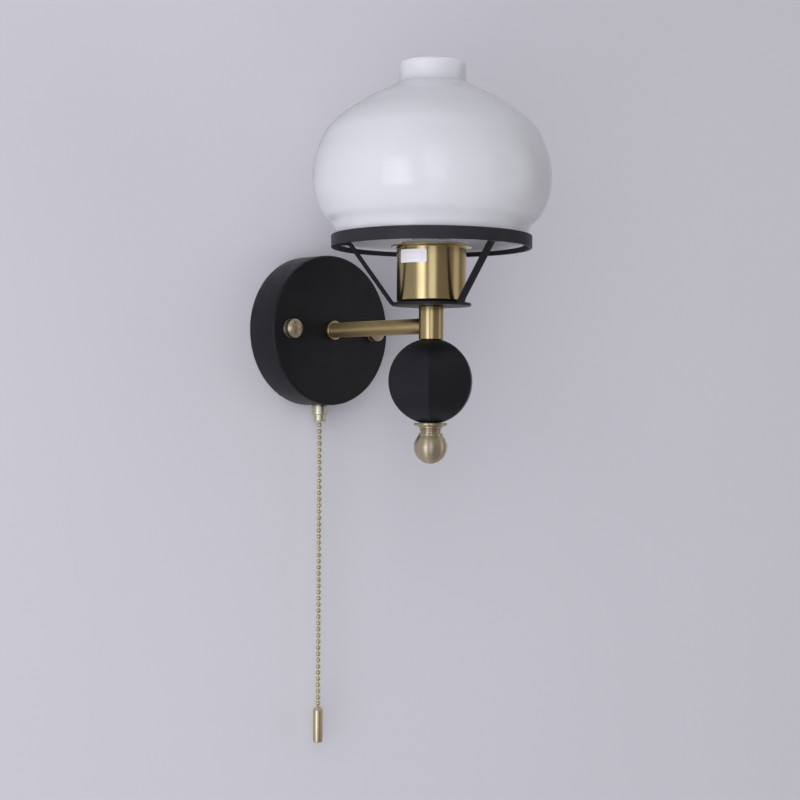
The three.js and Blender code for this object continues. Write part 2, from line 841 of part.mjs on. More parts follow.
// The outside line of the glass, from the mouth up to the rim of the neck
function shadeOutline() {
  const [mouth, widest, neck] = [shadeMouthDiameter / 2, shadeDiameter / 2, shadeNeckDiameter / 2];
  const bodyHeight = shadeHeight - shadeNeckHeight;
  const spot = (inner, [heightShare, radiusShare]) => new THREE.Vector2(
    inner + (widest - inner) * radiusShare,
    shadeBottom + bodyHeight * heightShare,
  );
  return new THREE.SplineCurve([
    ...lowerShadeShares.map((shares) => spot(mouth, shares)),
    spot(mouth, [widestShare, 1]),
    ...upperShadeShares.map((shares) => spot(neck, shares)),
    new THREE.Vector2(neck, shadeBottom + shadeHeight - shadeRimRadius),
  ]);
}

// Blown shade: the outline and the same line one wall further in, with rounded rims
function shadeBody() {
  const curve = shadeOutline();
  const outside = [];
  const inside = [];
  for (let i = 0; i <= shadeSteps; i += 1) {
    const t = i / shadeSteps;
    const point = curve.getPointAt(t);
    const along = curve.getTangentAt(t);
    outside.push([point.x, point.y]);
    inside.unshift([point.x - along.y * shadeWall, point.y + along.x * shadeWall]);
  }
  const topInside = inside[0];
  topInside[1] = outside[shadeSteps][1];
  const top = shadeBottom + shadeHeight;
  const bottomInside = inside[shadeSteps];
  bottomInside[1] = shadeBottom + shadeRimRadius / 2;
  outside[0][1] = shadeBottom + shadeRimRadius / 2;
  const rim = [
    [outside[shadeSteps][0] - shadeRimRadius / 2, top],
    [topInside[0] + shadeRimRadius / 2, top],
  ];
  const foot = [
    [bottomInside[0] + shadeRimRadius / 2, shadeBottom],
    [outside[0][0] - shadeRimRadius / 2, shadeBottom],
  ];
  return turnedRing([...outside, ...rim, ...inside, ...foot], wideSides);
}

// Ball with vertical ridges: the part that three level cylinders have in common
function ballBody() {
  const half = ballAcrossFlats / 2;
  const facets = ballGores * arcSteps;
  let body = null;
  for (let i = 0; i < ballGores / 2; i += 1) {
    const roller = new THREE.CylinderGeometry(half, half, 2 * ballAcrossFlats, facets);
    const turn = (i * fullTurn) / ballGores + THREE.MathUtils.degToRad(ballRidgeTurn);
    const bar = solid(roller.rotateZ(quarterTurn).rotateZ(turn).translate(0, 0, ballMiddle));
    body = body ? body.intersect(bar) : bar;
  }
  const slab = block([-half * 2, -half * 2, ballBottom], [half * 2, half * 2, ballTop]);
  const bore = pin(pipeDiameter + 2 * seatGap, ballBottom - overrun, ballTop + overrun);
  return cut(body.intersect(solid(slab)), bore);
}

// Turned finial: flange, step, bead between grooves, collar and ball, bored for the pipe
function finialBody() {
  const bore = pipeDiameter / 2 + seatGap;
  const bottom = finialTop - finialHeight;
  const ballRadius = finialBallDiameter / 2;
  const ballCentre = bottom + ballRadius;
  const flangeLow = finialTop - finialFlangeHeight;
  const stepLow = flangeLow - finialStepHeight;
  const beadLow = stepLow - finialBeadHeight;
  const collarTop = beadLow - finialGrooveHeight;
  const start = Math.asin(finialCollarDiameter / 2 / ballRadius);
  const arc = [];
  const steps = 2 * arcSteps;
  for (let i = 0; i <= steps; i += 1) {
    const angle = start + ((Math.PI - start) * i) / steps;
    arc.push([ballRadius * Math.sin(angle), ballCentre + ballRadius * Math.cos(angle)]);
  }
  arc[steps][0] = 0;
  return turned([
    [0, finialTop - finialBoreDepth],
    [bore, finialTop - finialBoreDepth],
    [bore, finialTop],
    ...rounded([
      [finialFlangeDiameter / 2, finialTop],
      [finialFlangeDiameter / 2, flangeLow + finialFlangeHeight / 3],
      [finialStepDiameter / 2, flangeLow, finialStepHeight / 2],
      [finialStepDiameter / 2, stepLow],
      [finialGrooveDiameter / 2, stepLow],
      [finialBeadDiameter / 2, (stepLow + beadLow) / 2, finialBeadHeight / 2],
      [finialGrooveDiameter / 2, beadLow],
      [finialGrooveDiameter / 2, collarTop],
      [finialCollarDiameter / 2, collarTop],
    ]),
    ...arc,
  ], roundSides);
}

// Moulded switch block with the chamber of the pull pin
function switchBlockBody() {
  const [halfX, halfY] = [switchWidth / 2, switchDepth / 2];
  const outline = new THREE.Shape();
  outline.moveTo(-halfX + switchCorner, -halfY);
  outline.lineTo(halfX - switchCorner, -halfY);
  outline.lineTo(halfX, -halfY + switchCorner);
  outline.lineTo(halfX, halfY - switchCorner);
  outline.lineTo(halfX - switchCorner, halfY);
  outline.lineTo(-halfX + switchCorner, halfY);
  outline.lineTo(-halfX, halfY - switchCorner);
  outline.lineTo(-halfX, -halfY + switchCorner);
  outline.closePath();
  const chamberTop = switchBottom + switchChamberDepth;
  const chamber = pin(switchNeckDiameter + 2 * seatGap, switchBottom - overrun, chamberTop);
  return cut(solid(extruded(outline, switchBottom, switchTop)), chamber);
}

// Return spring as one unbroken wire
class Helix extends THREE.Curve {
  getPoint(t) {
    const angle = t * springTurns * fullTurn;
    const radius = (springDiameter - springWire) / 2;
    const height = springBottom + springWire / 2 + t * (springLength - springWire);
    return new THREE.Vector3(radius * Math.cos(angle), radius * Math.sin(angle), height);
  }
}

// Least air between two turns of the spring, measured between points on its centre line
function leastSpringGap() {
  const points = new Helix().getPoints(springTurns * beadSides);
  const apart = beadSides / 2;
  let least = Infinity;
  points.forEach((point, i) => points.slice(i + apart + 1).forEach((other) => {
    least = Math.min(least, point.distanceTo(other));
  }));
  return least - springWire;
}

function springBody() {
  console.log(`return_spring: least gap between turns ${leastSpringGap().toFixed(2)} mm`);
  const section = new THREE.Shape();
  section.absarc(0, 0, springWire / 2, 0, fullTurn, false);
  const steps = springTurns * beadSides;
  const options = { steps, curveSegments: wireSides / 2, extrudePath: new Helix(), bevelEnabled: false };
  return solid(new THREE.ExtrudeGeometry(section, options));
}

function addPullSwitch() {
  place(switchParts, 'switch_block', switchBlockBody(), blackMoulding);
  const neck = tube(switchNeckDiameter, pinBore, neckBottom, neckTop, smallSides);
  place(switchParts, 'switch_neck', neck, paleBrass);
  const nutTop = plateBottom - seatGap;
  const nutBore = switchNeckDiameter / 2 + seatGap;
  const nut = turnedRing([
    [nutBore, nutTop - switchNutHeight],
    [switchNutDiameter / 2 - switchNutEdge, nutTop - switchNutHeight],
    [switchNutDiameter / 2, nutTop - switchNutHeight + switchNutEdge],
    [switchNutDiameter / 2, nutTop - switchNutEdge],
    [switchNutDiameter / 2 - switchNutEdge, nutTop],
    [nutBore, nutTop],
  ], smallSides);
  place(switchParts, 'switch_ring_nut', nut, paleBrass);
  const pullPin = turned([
    [0, pinBottom],
    [pinDiameter / 2, pinBottom],
    [pinDiameter / 2, pinHeadBottom],
    [pinHeadDiameter / 2, pinHeadBottom],
    [pinHeadDiameter / 2, pinHeadBottom + pinHeadHeight],
    [0, pinHeadBottom + pinHeadHeight],
  ], smallSides);
  place(switchParts, 'pull_pin', pullPin, zincSteel);
  place(switchParts, 'return_spring', springBody(), zincSteel);
}

// Ball chain: each bead has four rings of corners, and the links join bead to bead
function chainBody() {
  const radius = beadDiameter / 2;
  const ringAngles = [67.5, 22.5, -22.5, -67.5].map(THREE.MathUtils.degToRad);
  const profile = [[0, chainTop]];
  for (let i = 0; i < beadCount; i += 1) {
    const middle = chainTop - (i + 1 / 2) * beadPitch;
    for (const angle of ringAngles) {
      profile.push([radius * Math.cos(angle), middle + radius * Math.sin(angle)]);
    }
  }
  const link = radius * Math.cos(ringAngles[0]);
  profile.splice(1, 0, [link, chainTop]);
  profile.push([link, chainBottom], [0, chainBottom]);
  return turned(profile, beadSides);
}

// Turned weight with a tapered shoulder round the last link
function weightBody() {
  const radius = weightDiameter / 2;
  const bottom = weightTop - weightLength;
  return turned(rounded([
    [0, weightTop],
    [weightMouthDiameter / 2, weightTop],
    [radius, weightTop - weightShoulder, weightShoulder / 2],
    [radius, bottom, weightBaseRadius],
    [0, bottom],
  ]), smallSides);
}

function addPullChain() {
  place(switchParts, 'pull_chain', chainBody(), paleBrass);
  place(switchParts, 'chain_weight', weightBody(), satinBrass);
}

// A point given across the wall, out from the wall and up
function at(across, out, up) {
  return new THREE.Vector3(across, -out, up);
}

// The run of a wire through the arm, round into the pipe and up to the lampholder
function runToHolder(across, end) {
  const inPipe = Math.sign(across) * (pipeBore / 2 - wireDiameter / 2 - 2 * seatGap);
  const bend = pipeDiameter / 2;
  return [
    at(across, armBack - bushingFlange, 0),
    at(across, armBack + armTail, 0),
    at(across, reach / 2, 0),
    at(across, reach - 3 * bend, 0),
    at((across + inPipe) / 2, reach - 1.3 * bend, 0),
    at(inPipe, reach - bend / 3, bend / 2),
    at(inPipe, reach, 1.6 * bend),
    at(inPipe, reach, 3 * bend),
    at(inPipe, reach, end),
  ];
}

// Inner wires: supply to switch, switch to lampholder, supply to lampholder, and earth
function addWires() {
  const blockMiddle = plateInside - seatGap - terminalDepth / 2;
  const blockLow = terminalLift - seatGap;
  const switchMiddle = plateDepth / 2;
  const switchTopGap = switchTop + seatGap;
  const side = wirePitch / 2;
  const wireEnd = pipeTop;
  const lugTop = earthHeadDiameter / 2 + seatGap - earthScrewDrop;
  const routes = {
    neutral_wire: [blueWire, [
      at(-terminalPitch, blockMiddle, blockLow),
      at(-terminalPitch, blockMiddle - wireSweep / 2, blockLow - wireSweep),
      at(-wireSweep, armBack - 1.2 * wireSweep, wireSweep),
      at(-side - wireSweep / 5, armBack - 1.1 * wireSweep, wireSweep / 5),
      ...runToHolder(-side, wireEnd),
    ]],
    lamp_live_wire: [brownWire, [
      at(-terminalPitch / 2, switchMiddle, switchTopGap),
      at(-terminalPitch / 2, switchMiddle - wireSweep / 4, switchTopGap + wireSweep),
      at(-side, armBack - 1.4 * wireSweep, -2 * wireSweep),
      at(side, armBack - 1.3 * wireSweep, -wireSweep / 2),
      ...runToHolder(side, wireEnd),
    ]],
    supply_live_wire: [brownWire, [
      at(terminalPitch, blockMiddle, blockLow),
      at(terminalPitch + wireSweep / 3, blockMiddle - wireSweep / 4, blockLow - wireSweep),
      at(terminalPitch + 1.4 * wireSweep, switchMiddle, 0),
      at(terminalPitch + 0.6 * wireSweep, switchMiddle, switchTop + 2 * wireSweep),
      at(terminalPitch / 2, switchMiddle, switchTopGap + wireSweep / 2),
      at(terminalPitch / 2, switchMiddle, switchTopGap),
    ]],
    earth_wire: [earthWireGreen, [
      at(0, blockMiddle, blockLow),
      at(wireSweep / 4, blockMiddle - wireSweep, blockLow - 0.8 * wireSweep),
      at(earthScrewOffset - wireSweep / 2, bracketSheet + 0.9 * wireSweep, 2 * wireSweep),
      at(earthScrewOffset, bracketSheet + 1.3 * wireDiameter, lugTop + wireSweep),
      at(earthScrewOffset, bracketSheet + seatGap + wireDiameter / 2, lugTop),
    ]],
  };
  for (const [name, [finish, points]] of Object.entries(routes)) {
    place(wallLight, name, wire(points), finish);
  }
}

addWallFixings();
addWallElectrics();
addArm();
addStem();
addGallery();
addLampholder();
addBulb();
place(lampParts, 'shade', shadeBody(), opalGlass);
place(lampParts, 'faceted_ball', ballBody(), blackPaint);
place(lampParts, 'finial', finialBody(), satinBrass);
addPullSwitch();
addPullChain();
addWires();

export default wallLight;
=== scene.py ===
"""Wall light with an opal glass shade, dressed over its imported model.

Laid out as a Blender add-on: each group of pieces has an operator, and the panel in the
sidebar lists them. Run as a script, it makes them all in order.
"""

import math

import bmesh
import bpy
from bpy.props import FloatProperty, FloatVectorProperty, IntProperty, PointerProperty
from bpy.types import Operator, Panel, PropertyGroup
from mathutils import Matrix, Vector


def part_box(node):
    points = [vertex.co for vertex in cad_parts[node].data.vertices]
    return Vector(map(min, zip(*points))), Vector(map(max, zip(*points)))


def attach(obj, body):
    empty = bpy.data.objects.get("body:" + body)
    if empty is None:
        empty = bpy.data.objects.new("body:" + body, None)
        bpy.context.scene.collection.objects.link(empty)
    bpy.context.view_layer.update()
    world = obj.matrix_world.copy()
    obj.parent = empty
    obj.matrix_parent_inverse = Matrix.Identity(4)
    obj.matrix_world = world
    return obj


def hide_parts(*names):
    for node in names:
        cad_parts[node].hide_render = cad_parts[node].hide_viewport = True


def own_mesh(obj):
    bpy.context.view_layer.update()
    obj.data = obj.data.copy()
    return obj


bl_info = {
    "name": "Opal Glass Wall Light",
    "version": (1, 0, 0),
    "blender": (4, 5, 0),
    "location": "3D View > Sidebar > Wall Light",
    "description": "Makes a wall light with a glass shade, a gallery and a pull chain",
    "category": "Object",
}

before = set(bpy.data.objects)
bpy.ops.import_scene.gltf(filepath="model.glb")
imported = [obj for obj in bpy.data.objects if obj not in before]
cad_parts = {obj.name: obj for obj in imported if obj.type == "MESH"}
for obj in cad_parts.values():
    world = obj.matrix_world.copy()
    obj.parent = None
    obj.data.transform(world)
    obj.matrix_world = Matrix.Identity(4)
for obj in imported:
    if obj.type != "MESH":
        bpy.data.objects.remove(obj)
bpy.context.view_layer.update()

MM = 0.001
QUARTER, TURN = math.pi / 2, math.pi * 2

# Sides of a turned piece, by its size
WIDE_SIDES, ROUND_SIDES, SMALL_SIDES = 144, 96, 48

# Edges sharper than this many degrees stay crisp
SHARP = 35

PIPE_HOLE = 5.3 * MM  # radius of each hole that the threaded pipe passes
DISC_RADIUS = 25 * MM  # of the gallery's disc
TAB_PLAY = 0.6 * MM  # between a strap's tab and the ring
ARM_PLAY = 0.15 * MM  # round the arm in the stem's hole
# The stem and the finial close up to the ball that far, so that no light shows between them
CLOSER = 0.22 * MM


# Places and sizes read from the imported model


def middle(node):
    """The middle of a CAD node's box."""
    low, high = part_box(node)
    return (low + high) / 2


def upright(node):
    """The radius, lowest Z and highest Z of a CAD node with a vertical axis."""
    low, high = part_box(node)
    return (high.x - low.x) / 2, low.z, high.z


def off_wall(node):
    """The radius of a CAD node with its axis out of the wall, and where it starts and ends."""
    low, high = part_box(node)
    return (high.x - low.x) / 2, -high.y, -low.y


def out_of_wall(x=0.0):
    """Lays a body that is turned about Z with its height out of the wall."""
    return Matrix.Translation((x, 0, 0)) @ Matrix.Rotation(QUARTER, 4, "X")


LAMP = Vector((0, middle("stem_tube").y, 0))
SWITCH = Vector((0, middle("switch_neck").y, 0))
ON_LAMP, ON_SWITCH = Matrix.Translation(LAMP), Matrix.Translation(SWITCH)


# Settings that a user would change


def linear(hex_colour):
    """An sRGB hex colour as linear values with full alpha."""
    parts = [int(hex_colour[i:i + 2], 16) / 255 for i in (1, 3, 5)]
    return (*[p / 12.92 if p <= 0.04045 else ((p + 0.055) / 1.055) ** 2.4 for p in parts], 1.0)


def colour(name, description, hex_colour):
    """A colour that the user can change, from its sRGB hex value."""
    return FloatVectorProperty(
        name=name, description=description, subtype="COLOR", size=3, min=0, max=1,
        default=linear(hex_colour)[:3],
    )


def length(name, description, millimetres):
    """A length that the user can change, from its value in millimetres."""
    return FloatProperty(
        name=name, description=description, subtype="DISTANCE", unit="LENGTH", min=0,
        precision=5, default=millimetres * MM,
    )


class PlateSettings(PropertyGroup):
    """Sizes and colours of the backplate and its nuts."""

    wall: length("Plate wall", "Thickness of the spun steel", 1.2)
    edge: length("Plate edge", "Radius of the bend round the plate's face", 1.8)
    enamel: colour("Enamel", "Colour of the black paint", "#141417")
    nut_rim: length("Nut rim", "Height of the cap nut's rim", 1.0)
    nut_groove: length("Nut groove", "Depth and height of the groove over the rim", 0.6)
    nut_dome: length("Nut dome", "Height of the cap nut's dome", 2.6)


class BrassSettings(PropertyGroup):
    """Colours of the brass, and sizes of the arm and the stem."""

    tone: colour("Brass", "Colour of the lacquered brass", "#C4AF7D")
    aged: colour("Aged brass", "Colour of the duller brass of the finial and nuts", "#D6C7A8")
    pale: colour("Pale brass", "Colour of the pull outlet", "#E0DABF")
    tube_wall: length("Tube wall", "Wall of the arm's tube", 1.0)
    edge: length("Edge", "Break of the edges on turned brass", 0.35)


class GallerySettings(PropertyGroup):
    """Sizes of the gallery, and the colour of its ring."""

    sheet: length("Sheet", "Thickness of the disc and the straps", 1.8)
    strap_width: length("Strap width", "Width of a strap", 5.2)
    strap_bend: length("Strap bend", "Radius of the strap's bends", 1.8)
    tab_length: length("Tab length", "Length of the level tab under the glass", 8.2)
    ring_wall: length("Ring wall", "Thickness of the ring", 2.0)
    edge: length("Edge", "Radius of the painted edges", 0.4)
    straps: IntProperty(name="Straps", description="How many straps", default=3, min=2, max=6)
    hoop: colour("Hoop", "Colour of the ring, whose paint is flatter and paler", "#28282B")


class CupSettings(PropertyGroup):
    """Sizes and colours of the lampholder cup and its label."""

    wall: length("Cup wall", "Thickness of the drawn brass", 0.9)
    diameter: length("Cup diameter", "Outer diameter under the lip", 43.4)
    floor_bend: length("Floor bend", "Radius at the foot of the cup", 1.8)
    lip_bend: length("Lip bend", "Radius under the lip", 1.2)
    label_height: length("Label height", "Height of the bare label", 8.2)
    label_drop: length("Label drop", "Distance from the cup's top to the label", 3.4)
    paper: colour("Paper", "Colour of the bare label", "#E6E4E8")


class ShadeSettings(PropertyGroup):
    """Sizes and colour of the glass shade."""

    wall: length("Glass wall", "Thickness of the glass", 3.0)
    mouth: length("Mouth", "Outer diameter at the mouth", 119.4)
    neck: length("Neck", "Outer diameter of the neck", 42.2)
    neck_height: length("Neck height", "Height of the straight neck", 11.5)
    glass: colour("Opal", "Colour of the opal glass", "#CFCFD3")


class BulbSettings(PropertyGroup):
    """Sizes and colours of the lamp bulb and its holder."""

    glass_wall: length("Bulb wall", "Thickness of the bulb's glass", 1.0)
    thread_pitch: length("Cap thread pitch", "Pitch of the screw cap's thread", 3.62)
    thread_depth: length("Cap thread depth", "Depth of the screw cap's thread", 0.9)
    glass: colour("Frosted glass", "Colour of the bulb", "#F1EFE9")
    rim_lift: length("Rim lift", "How far the porcelain stands over its plain block", 3.6)
    porcelain: colour("Porcelain", "Colour of the lampholder", "#EFEEE9")


class DropSettings(PropertyGroup):
    """Sizes of the faceted ball."""

    across: length("Across flats", "Width of the ball between opposite faces", 51.2)
    arris: length("Arris", "Radius of the ball's ridges", 0.8)
    gores: IntProperty(name="Gores", description="Faces round the ball", default=6, min=3, max=12)
    ridge_turn: FloatProperty(
        name="Ridge turn", description="Direction of one ridge, from +X", subtype="ANGLE",
        unit="ROTATION", default=math.radians(-17),
    )


class PullSettings(PropertyGroup):
    """Sizes and colours of the pull chain and its weight."""

    bead: length("Bead", "Diameter of a bead", 3.2)
    link: length("Link", "Diameter of the link wires", 0.9)
    beads: IntProperty(name="Beads", description="How many beads", default=46, min=2, max=200)
    chain: colour("Chain", "Colour of the chain", "#E8D8A6")
    weight: colour("Weight", "Colour of the weight", "#DDCFA8")


class StudioSettings(PropertyGroup):
    """Sizes and colours of the wall, the floor and the rest of the room."""

    wall: colour("Wall", "Colour of the painted wall", "#D5D4DA")
    floor: colour("Floor", "Colour of the floor", "#D0CFD6")
    curtain: colour("Curtain", "Colour of the room's other sides", "#C6C5CE")
    wall_gap: length("Wall gap", "Space between the light and the wall's paint", 0.4)
    drop: length("Floor drop", "Depth of the floor under the light's origin", 1500)


SETTINGS = {
    "wall_light_plate": PlateSettings,
    "wall_light_brass": BrassSettings,
    "wall_light_gallery": GallerySettings,
    "wall_light_cup": CupSettings,
    "wall_light_shade": ShadeSettings,
    "wall_light_bulb": BulbSettings,
    "wall_light_drop": DropSettings,
    "wall_light_pull": PullSettings,
    "wall_light_studio": StudioSettings,
}


# Finishes


def add(tree, kind, inputs=None, **settings):
    """One node with its settings. An input takes a value or another node's socket."""
    node = tree.nodes.new(kind)
    for name, value in settings.items():
        setattr(node, name, value)
    for key, value in (inputs or {}).items():
        if isinstance(value, bpy.types.NodeSocket):
            tree.links.new(value, node.inputs[key])
        else:
            node.inputs[key].default_value = value
    return node


def bare_tree(owner):
    """The node tree of a new material or world, emptied."""
    owner.use_nodes = True
    owner.node_tree.nodes.clear()
    return owner.node_tree


def shaded(tone, factor=1.0):
    """A linear colour made darker or lighter by one factor."""
    return (*[min(1.0, part * factor) for part in tone[:3]], 1.0)


def seen_from_front(tree, look):
    """The look on a sheet's front side, and nothing on its back."""
    clear = add(tree, "ShaderNodeBsdfTransparent").outputs[0]
    behind = add(tree, "ShaderNodeNewGeometry").outputs["Backfacing"]
    return add(tree, "ShaderNodeMixShader", {0: behind, 1: look, 2: clear}).outputs[0]


class Finish:
    """A material in the making, whose patterns are as large as they are in millimetres."""

    def __init__(self, name, **constants):
        self.material = bpy.data.materials.new(name)
        self.tree = bare_tree(self.material)
        values = {key.replace("_", " "): value for key, value in constants.items()}
        self.shader = add(self.tree, "ShaderNodeBsdfPrincipled", values)
        look = {"Surface": self.shader.outputs[0]}
        self.output = add(self.tree, "ShaderNodeOutputMaterial", look)
        self.place = add(self.tree, "ShaderNodeTexCoord").outputs["Object"]

    def feed(self, key, socket):
        self.tree.links.new(socket, self.shader.inputs[key])

    def cloud(self, grain, low=0.0, high=1.0, detail=3.0, stretch=None):
        """Noise of that grain in millimetres, spread from low to high."""
        place = self.place
        if stretch:
            scaled = {"Vector": place, "Scale": stretch}
            place = add(self.tree, "ShaderNodeMapping", scaled).outputs[0]
        pattern = {"Vector": place, "Scale": 1 / (grain * MM), "Detail": detail}
        noise = add(self.tree, "ShaderNodeTexNoise", pattern).outputs["Fac"]
        limits = {"Value": noise, "From Min": 0.3, "From Max": 0.7, "To Min": low, "To Max": high}
        return add(self.tree, "ShaderNodeMapRange", limits).outputs[0]

    def mottle(self, tone, dark, light, grain, detail=3.0):
        """Colours the surface in darker and lighter clouds of one tone."""
        self.tones(shaded(tone, dark), shaded(tone, light), self.cloud(grain, detail=detail))

    def tones(self, first, second, share):
        """Colours the surface between two tones, by a share from 0 to 1."""
        pair = {"Factor": share, 6: first, 7: second}
        self.feed("Base Color", add(self.tree, "ShaderNodeMix", pair, data_type="RGBA").outputs[2])

    def dull(self, grain, low, high, detail=3.0):
        """Spreads the roughness from low to high in clouds of that grain."""
        self.feed("Roughness", self.cloud(grain, low, high, detail))

    def relief(self, grain, depth, strength, detail=3.0, stretch=None):
        """Raises clouds of that grain by a depth, both in millimetres."""
        height = self.cloud(grain, detail=detail, stretch=stretch)
        rise = {"Height": height, "Strength": strength, "Distance": depth * MM}
        self.feed("Normal", add(self.tree, "ShaderNodeBump", rise).outputs[0])


def baked_powder_coat(tone, gloss=0.27):
    """Powder-coated steel, baked: a soft satin black whose fine orange peel spreads highlights."""
    coat = Finish("baked_powder_coat", IOR=1.5, Specular_IOR_Level=gloss)
    coat.mottle(tone, 0.88, 1.12, 22)
    coat.dull(9, 0.4, 0.5)
    # Peel of a real coat is about 0.5 mm across; 0.9 mm still shows at this size
    coat.relief(0.9, 0.02, 0.35)
    return coat.material


def lacquered_brass(name, axis, spread):
    """Brass under lacquer, whose fine lines round the axis or along it draw out the highlights."""
    brass = Finish(name, Metallic=1.0, Anisotropic=spread, Anisotropic_Rotation=0.25)
    around = add(brass.tree, "ShaderNodeTangent", direction_type="RADIAL", axis=axis)
    brass.feed("Tangent", around.outputs[0])
    return brass


def lines(axis, along, across):
    """How a pattern is stretched along an axis and across it."""
    return [along if letter == axis else across for letter in "XYZ"]


def turned_brass(name, tone, axis="Z", rough=0.26, spread=0.55, cut=0.2):
    """Lacquered brass turned on a lathe: fine rings stretch each highlight along the piece."""
    brass = lacquered_brass(name, axis, spread)
    brass.mottle(tone, 0.9, 1.06, 14)
    brass.dull(5, rough - 0.03, rough + 0.05)
    # The tool's own lines are finer than 0.1 mm; 0.35 mm still shows at this size
    brass.relief(0.35, 0.01, cut, detail=2.0, stretch=lines(axis, 1, 0.02))
    return brass.material


def drawn_brass(name, tone, axis="Z", rough=0.2, spread=0.3):
    """Lacquered brass drawn through a die: smooth and bright, with faint lines along it."""
    brass = lacquered_brass(name, axis, spread)
    brass.mottle(tone, 0.94, 1.05, 18)
    brass.dull(24, rough - 0.01, rough + 0.02, detail=1.0)
    # The die's own lines are finer; 0.6 mm still shows at this size
    brass.relief(0.6, 0.003, 0.05, stretch=lines(axis, 0.03, 1))
    return brass.material


def zinc_plated_steel():
    """Electroplated zinc on steel: a cool grey with a cloudy, slightly bluish bloom."""
    zinc = Finish("zinc_plated_steel", Metallic=1.0)
    zinc.tones(linear("#9EA3A8"), linear("#BFC4CA"), zinc.cloud(6))
    zinc.dull(3, 0.3, 0.48)
    zinc.relief(0.6, 0.01, 0.25)
    return zinc.material


def cased_opal_glass(tone):
    """Blown opal glass in a clear casing: milky and softly lit through, under a wet gloss."""
    opal = Finish(
        "cased_opal_glass", IOR=1.5, Roughness=0.05, Subsurface_Weight=0.8,
        Subsurface_Scale=0.016, Subsurface_Radius=(1.0, 0.96, 0.9),
    )
    opal.mottle(tone, 0.97, 1.01, 45, detail=1.0)
    # Blown glass is never quite true: long shallow waves about 30 mm apart
    opal.relief(30, 0.12, 0.35, detail=0.5)
    return opal.material


def frosted_lamp_glass(tone):
    """Bulb glass frosted inside: a smooth white ball with a dull inner layer."""
    frost = Finish(
        "frosted_lamp_glass", IOR=1.5, Subsurface_Weight=0.2, Subsurface_Scale=0.004,
        Coat_Weight=0.3,
    )
    frost.mottle(tone, 0.97, 1, 12)
    frost.dull(8, 0.22, 0.32)
    return frost.material


def glazed_porcelain(tone):
    """Fired porcelain under a clear glaze: warm white, wet-looking, with tiny pinholes."""
    glaze = Finish("glazed_porcelain", IOR=1.5, Coat_Weight=0.5, Coat_Roughness=0.05)
    glaze.mottle(tone, 0.95, 1, 7)
    glaze.dull(2, 0.14, 0.24)
    glaze.relief(1.5, 0.02, 0.2)
    return glaze.material


def moulded_plastic(name, hex_colour, rough):
    """Injection-moulded plastic: an even colour with a fine spark-eroded grain."""
    tone = linear(hex_colour)
    plastic = Finish(name, IOR=1.46)
    plastic.mottle(tone, 0.94, 1.04, 9)
    plastic.dull(4, rough - 0.05, rough + 0.05)
    plastic.relief(0.7, 0.015, 0.25)
    return plastic.material


def striped_earth_sleeve():
    """Extruded PVC sleeve in two colours: green with a yellow stripe down each side."""
    sleeve = Finish("striped_earth_sleeve", IOR=1.53, Roughness=0.42)
    tree = sleeve.tree
    side = add(tree, "ShaderNodeSeparateXYZ", {"Vector": sleeve.place}).outputs["X"]
    # A sine that comes round every 2 mm, as wide as the sleeve
    steps = (("MULTIPLY", 1 / (0.32 * MM)), ("SINE", 0.0), ("GREATER_THAN", 0.2))
    for operation, value in steps:
        side = add(tree, "ShaderNodeMath", {0: side, 1: value}, operation=operation).outputs[0]
    sleeve.tones(linear("#3F8A3A"), linear("#D9C53A"), side)
    sleeve.relief(1.2, 0.01, 0.2)
    return sleeve.material


def label_paper(tone):
    """Coated label paper on its adhesive: flat and matt, with the faintest fibre."""
    paper = Finish("label_paper", IOR=1.45)
    paper.mottle(tone, 0.96, 1, 3)
    paper.dull(2, 0.5, 0.62)
    paper.relief(0.6, 0.01, 0.2, stretch=(1, 1, 0.3))
    return paper.material


def emulsion_paint(name, tone):
    """Matt emulsion on plaster: an even pale coat with the roller's faint stipple."""
    paint = Finish(name, IOR=1.45, Specular_IOR_Level=0.2)
    paint.mottle(tone, 0.985, 1, 260)
    paint.dull(60, 0.8, 0.9)
    paint.relief(3, 0.05, 0.15)
    look = seen_from_front(paint.tree, paint.shader.outputs[0])
    paint.tree.links.new(look, paint.output.inputs["Surface"])
    return paint.material


def backdrop_cloth(tone):
    """Evenly lit backdrop cloth round the rest of the room: no fold or shadow shows in it."""
    material = bpy.data.materials.new("backdrop_cloth")
    tree = bare_tree(material)
    glow = add(tree, "ShaderNodeEmission", {"Color": shaded(tone), "Strength": 1.0}).outputs[0]
    add(tree, "ShaderNodeOutputMaterial", {"Surface": seen_from_front(tree, glow)})
    return material


# Meshes


def softened(corners, steps=6):
    """Profile points from corners (radius, height, bend), each bend an arc of that radius."""
    out = []
    for i, corner in enumerate(corners):
        here, bend = Vector(corner[:2]), corner[2] if len(corner) > 2 else 0
        if not bend:
            out.append(tuple(here))
            continue
        back = Vector(corners[i - 1][:2]) - here
        ahead = Vector(corners[(i + 1) % len(corners)][:2]) - here
        half = back.angle(ahead) / 2
        reach = min(bend / math.tan(half), back.length * 0.49, ahead.length * 0.49)
        inward = (back.normalized() + ahead.normalized()).normalized()
        centre = here + inward * (reach / math.cos(half))
        start = here + back.normalized() * reach - centre
        sweep = start.angle_signed(here + ahead.normalized() * reach - centre)
        for k in range(steps + 1):
            spot = centre + Matrix.Rotation(-sweep * k / steps, 2) @ start
            out.append(tuple(spot))
    return out


def even(start, end, steps):
    """Values that go from start to end in that many even steps."""
    return [start + (end - start) * k / steps for k in range(steps + 1)]


def around(radius, angle, height):
    """The point at that radius, angle and height about the Z axis."""
    return radius * math.cos(angle), radius * math.sin(angle), height


def arc(radius, centre, start, end, steps):
    """Profile points on a circle centred on the axis, by angle from straight up."""
    points = []
    for angle in even(start, end, steps):
        out = radius * math.sin(angle)
        points.append((out if out > 0.001 * MM else 0, centre + radius * math.cos(angle)))
    return points


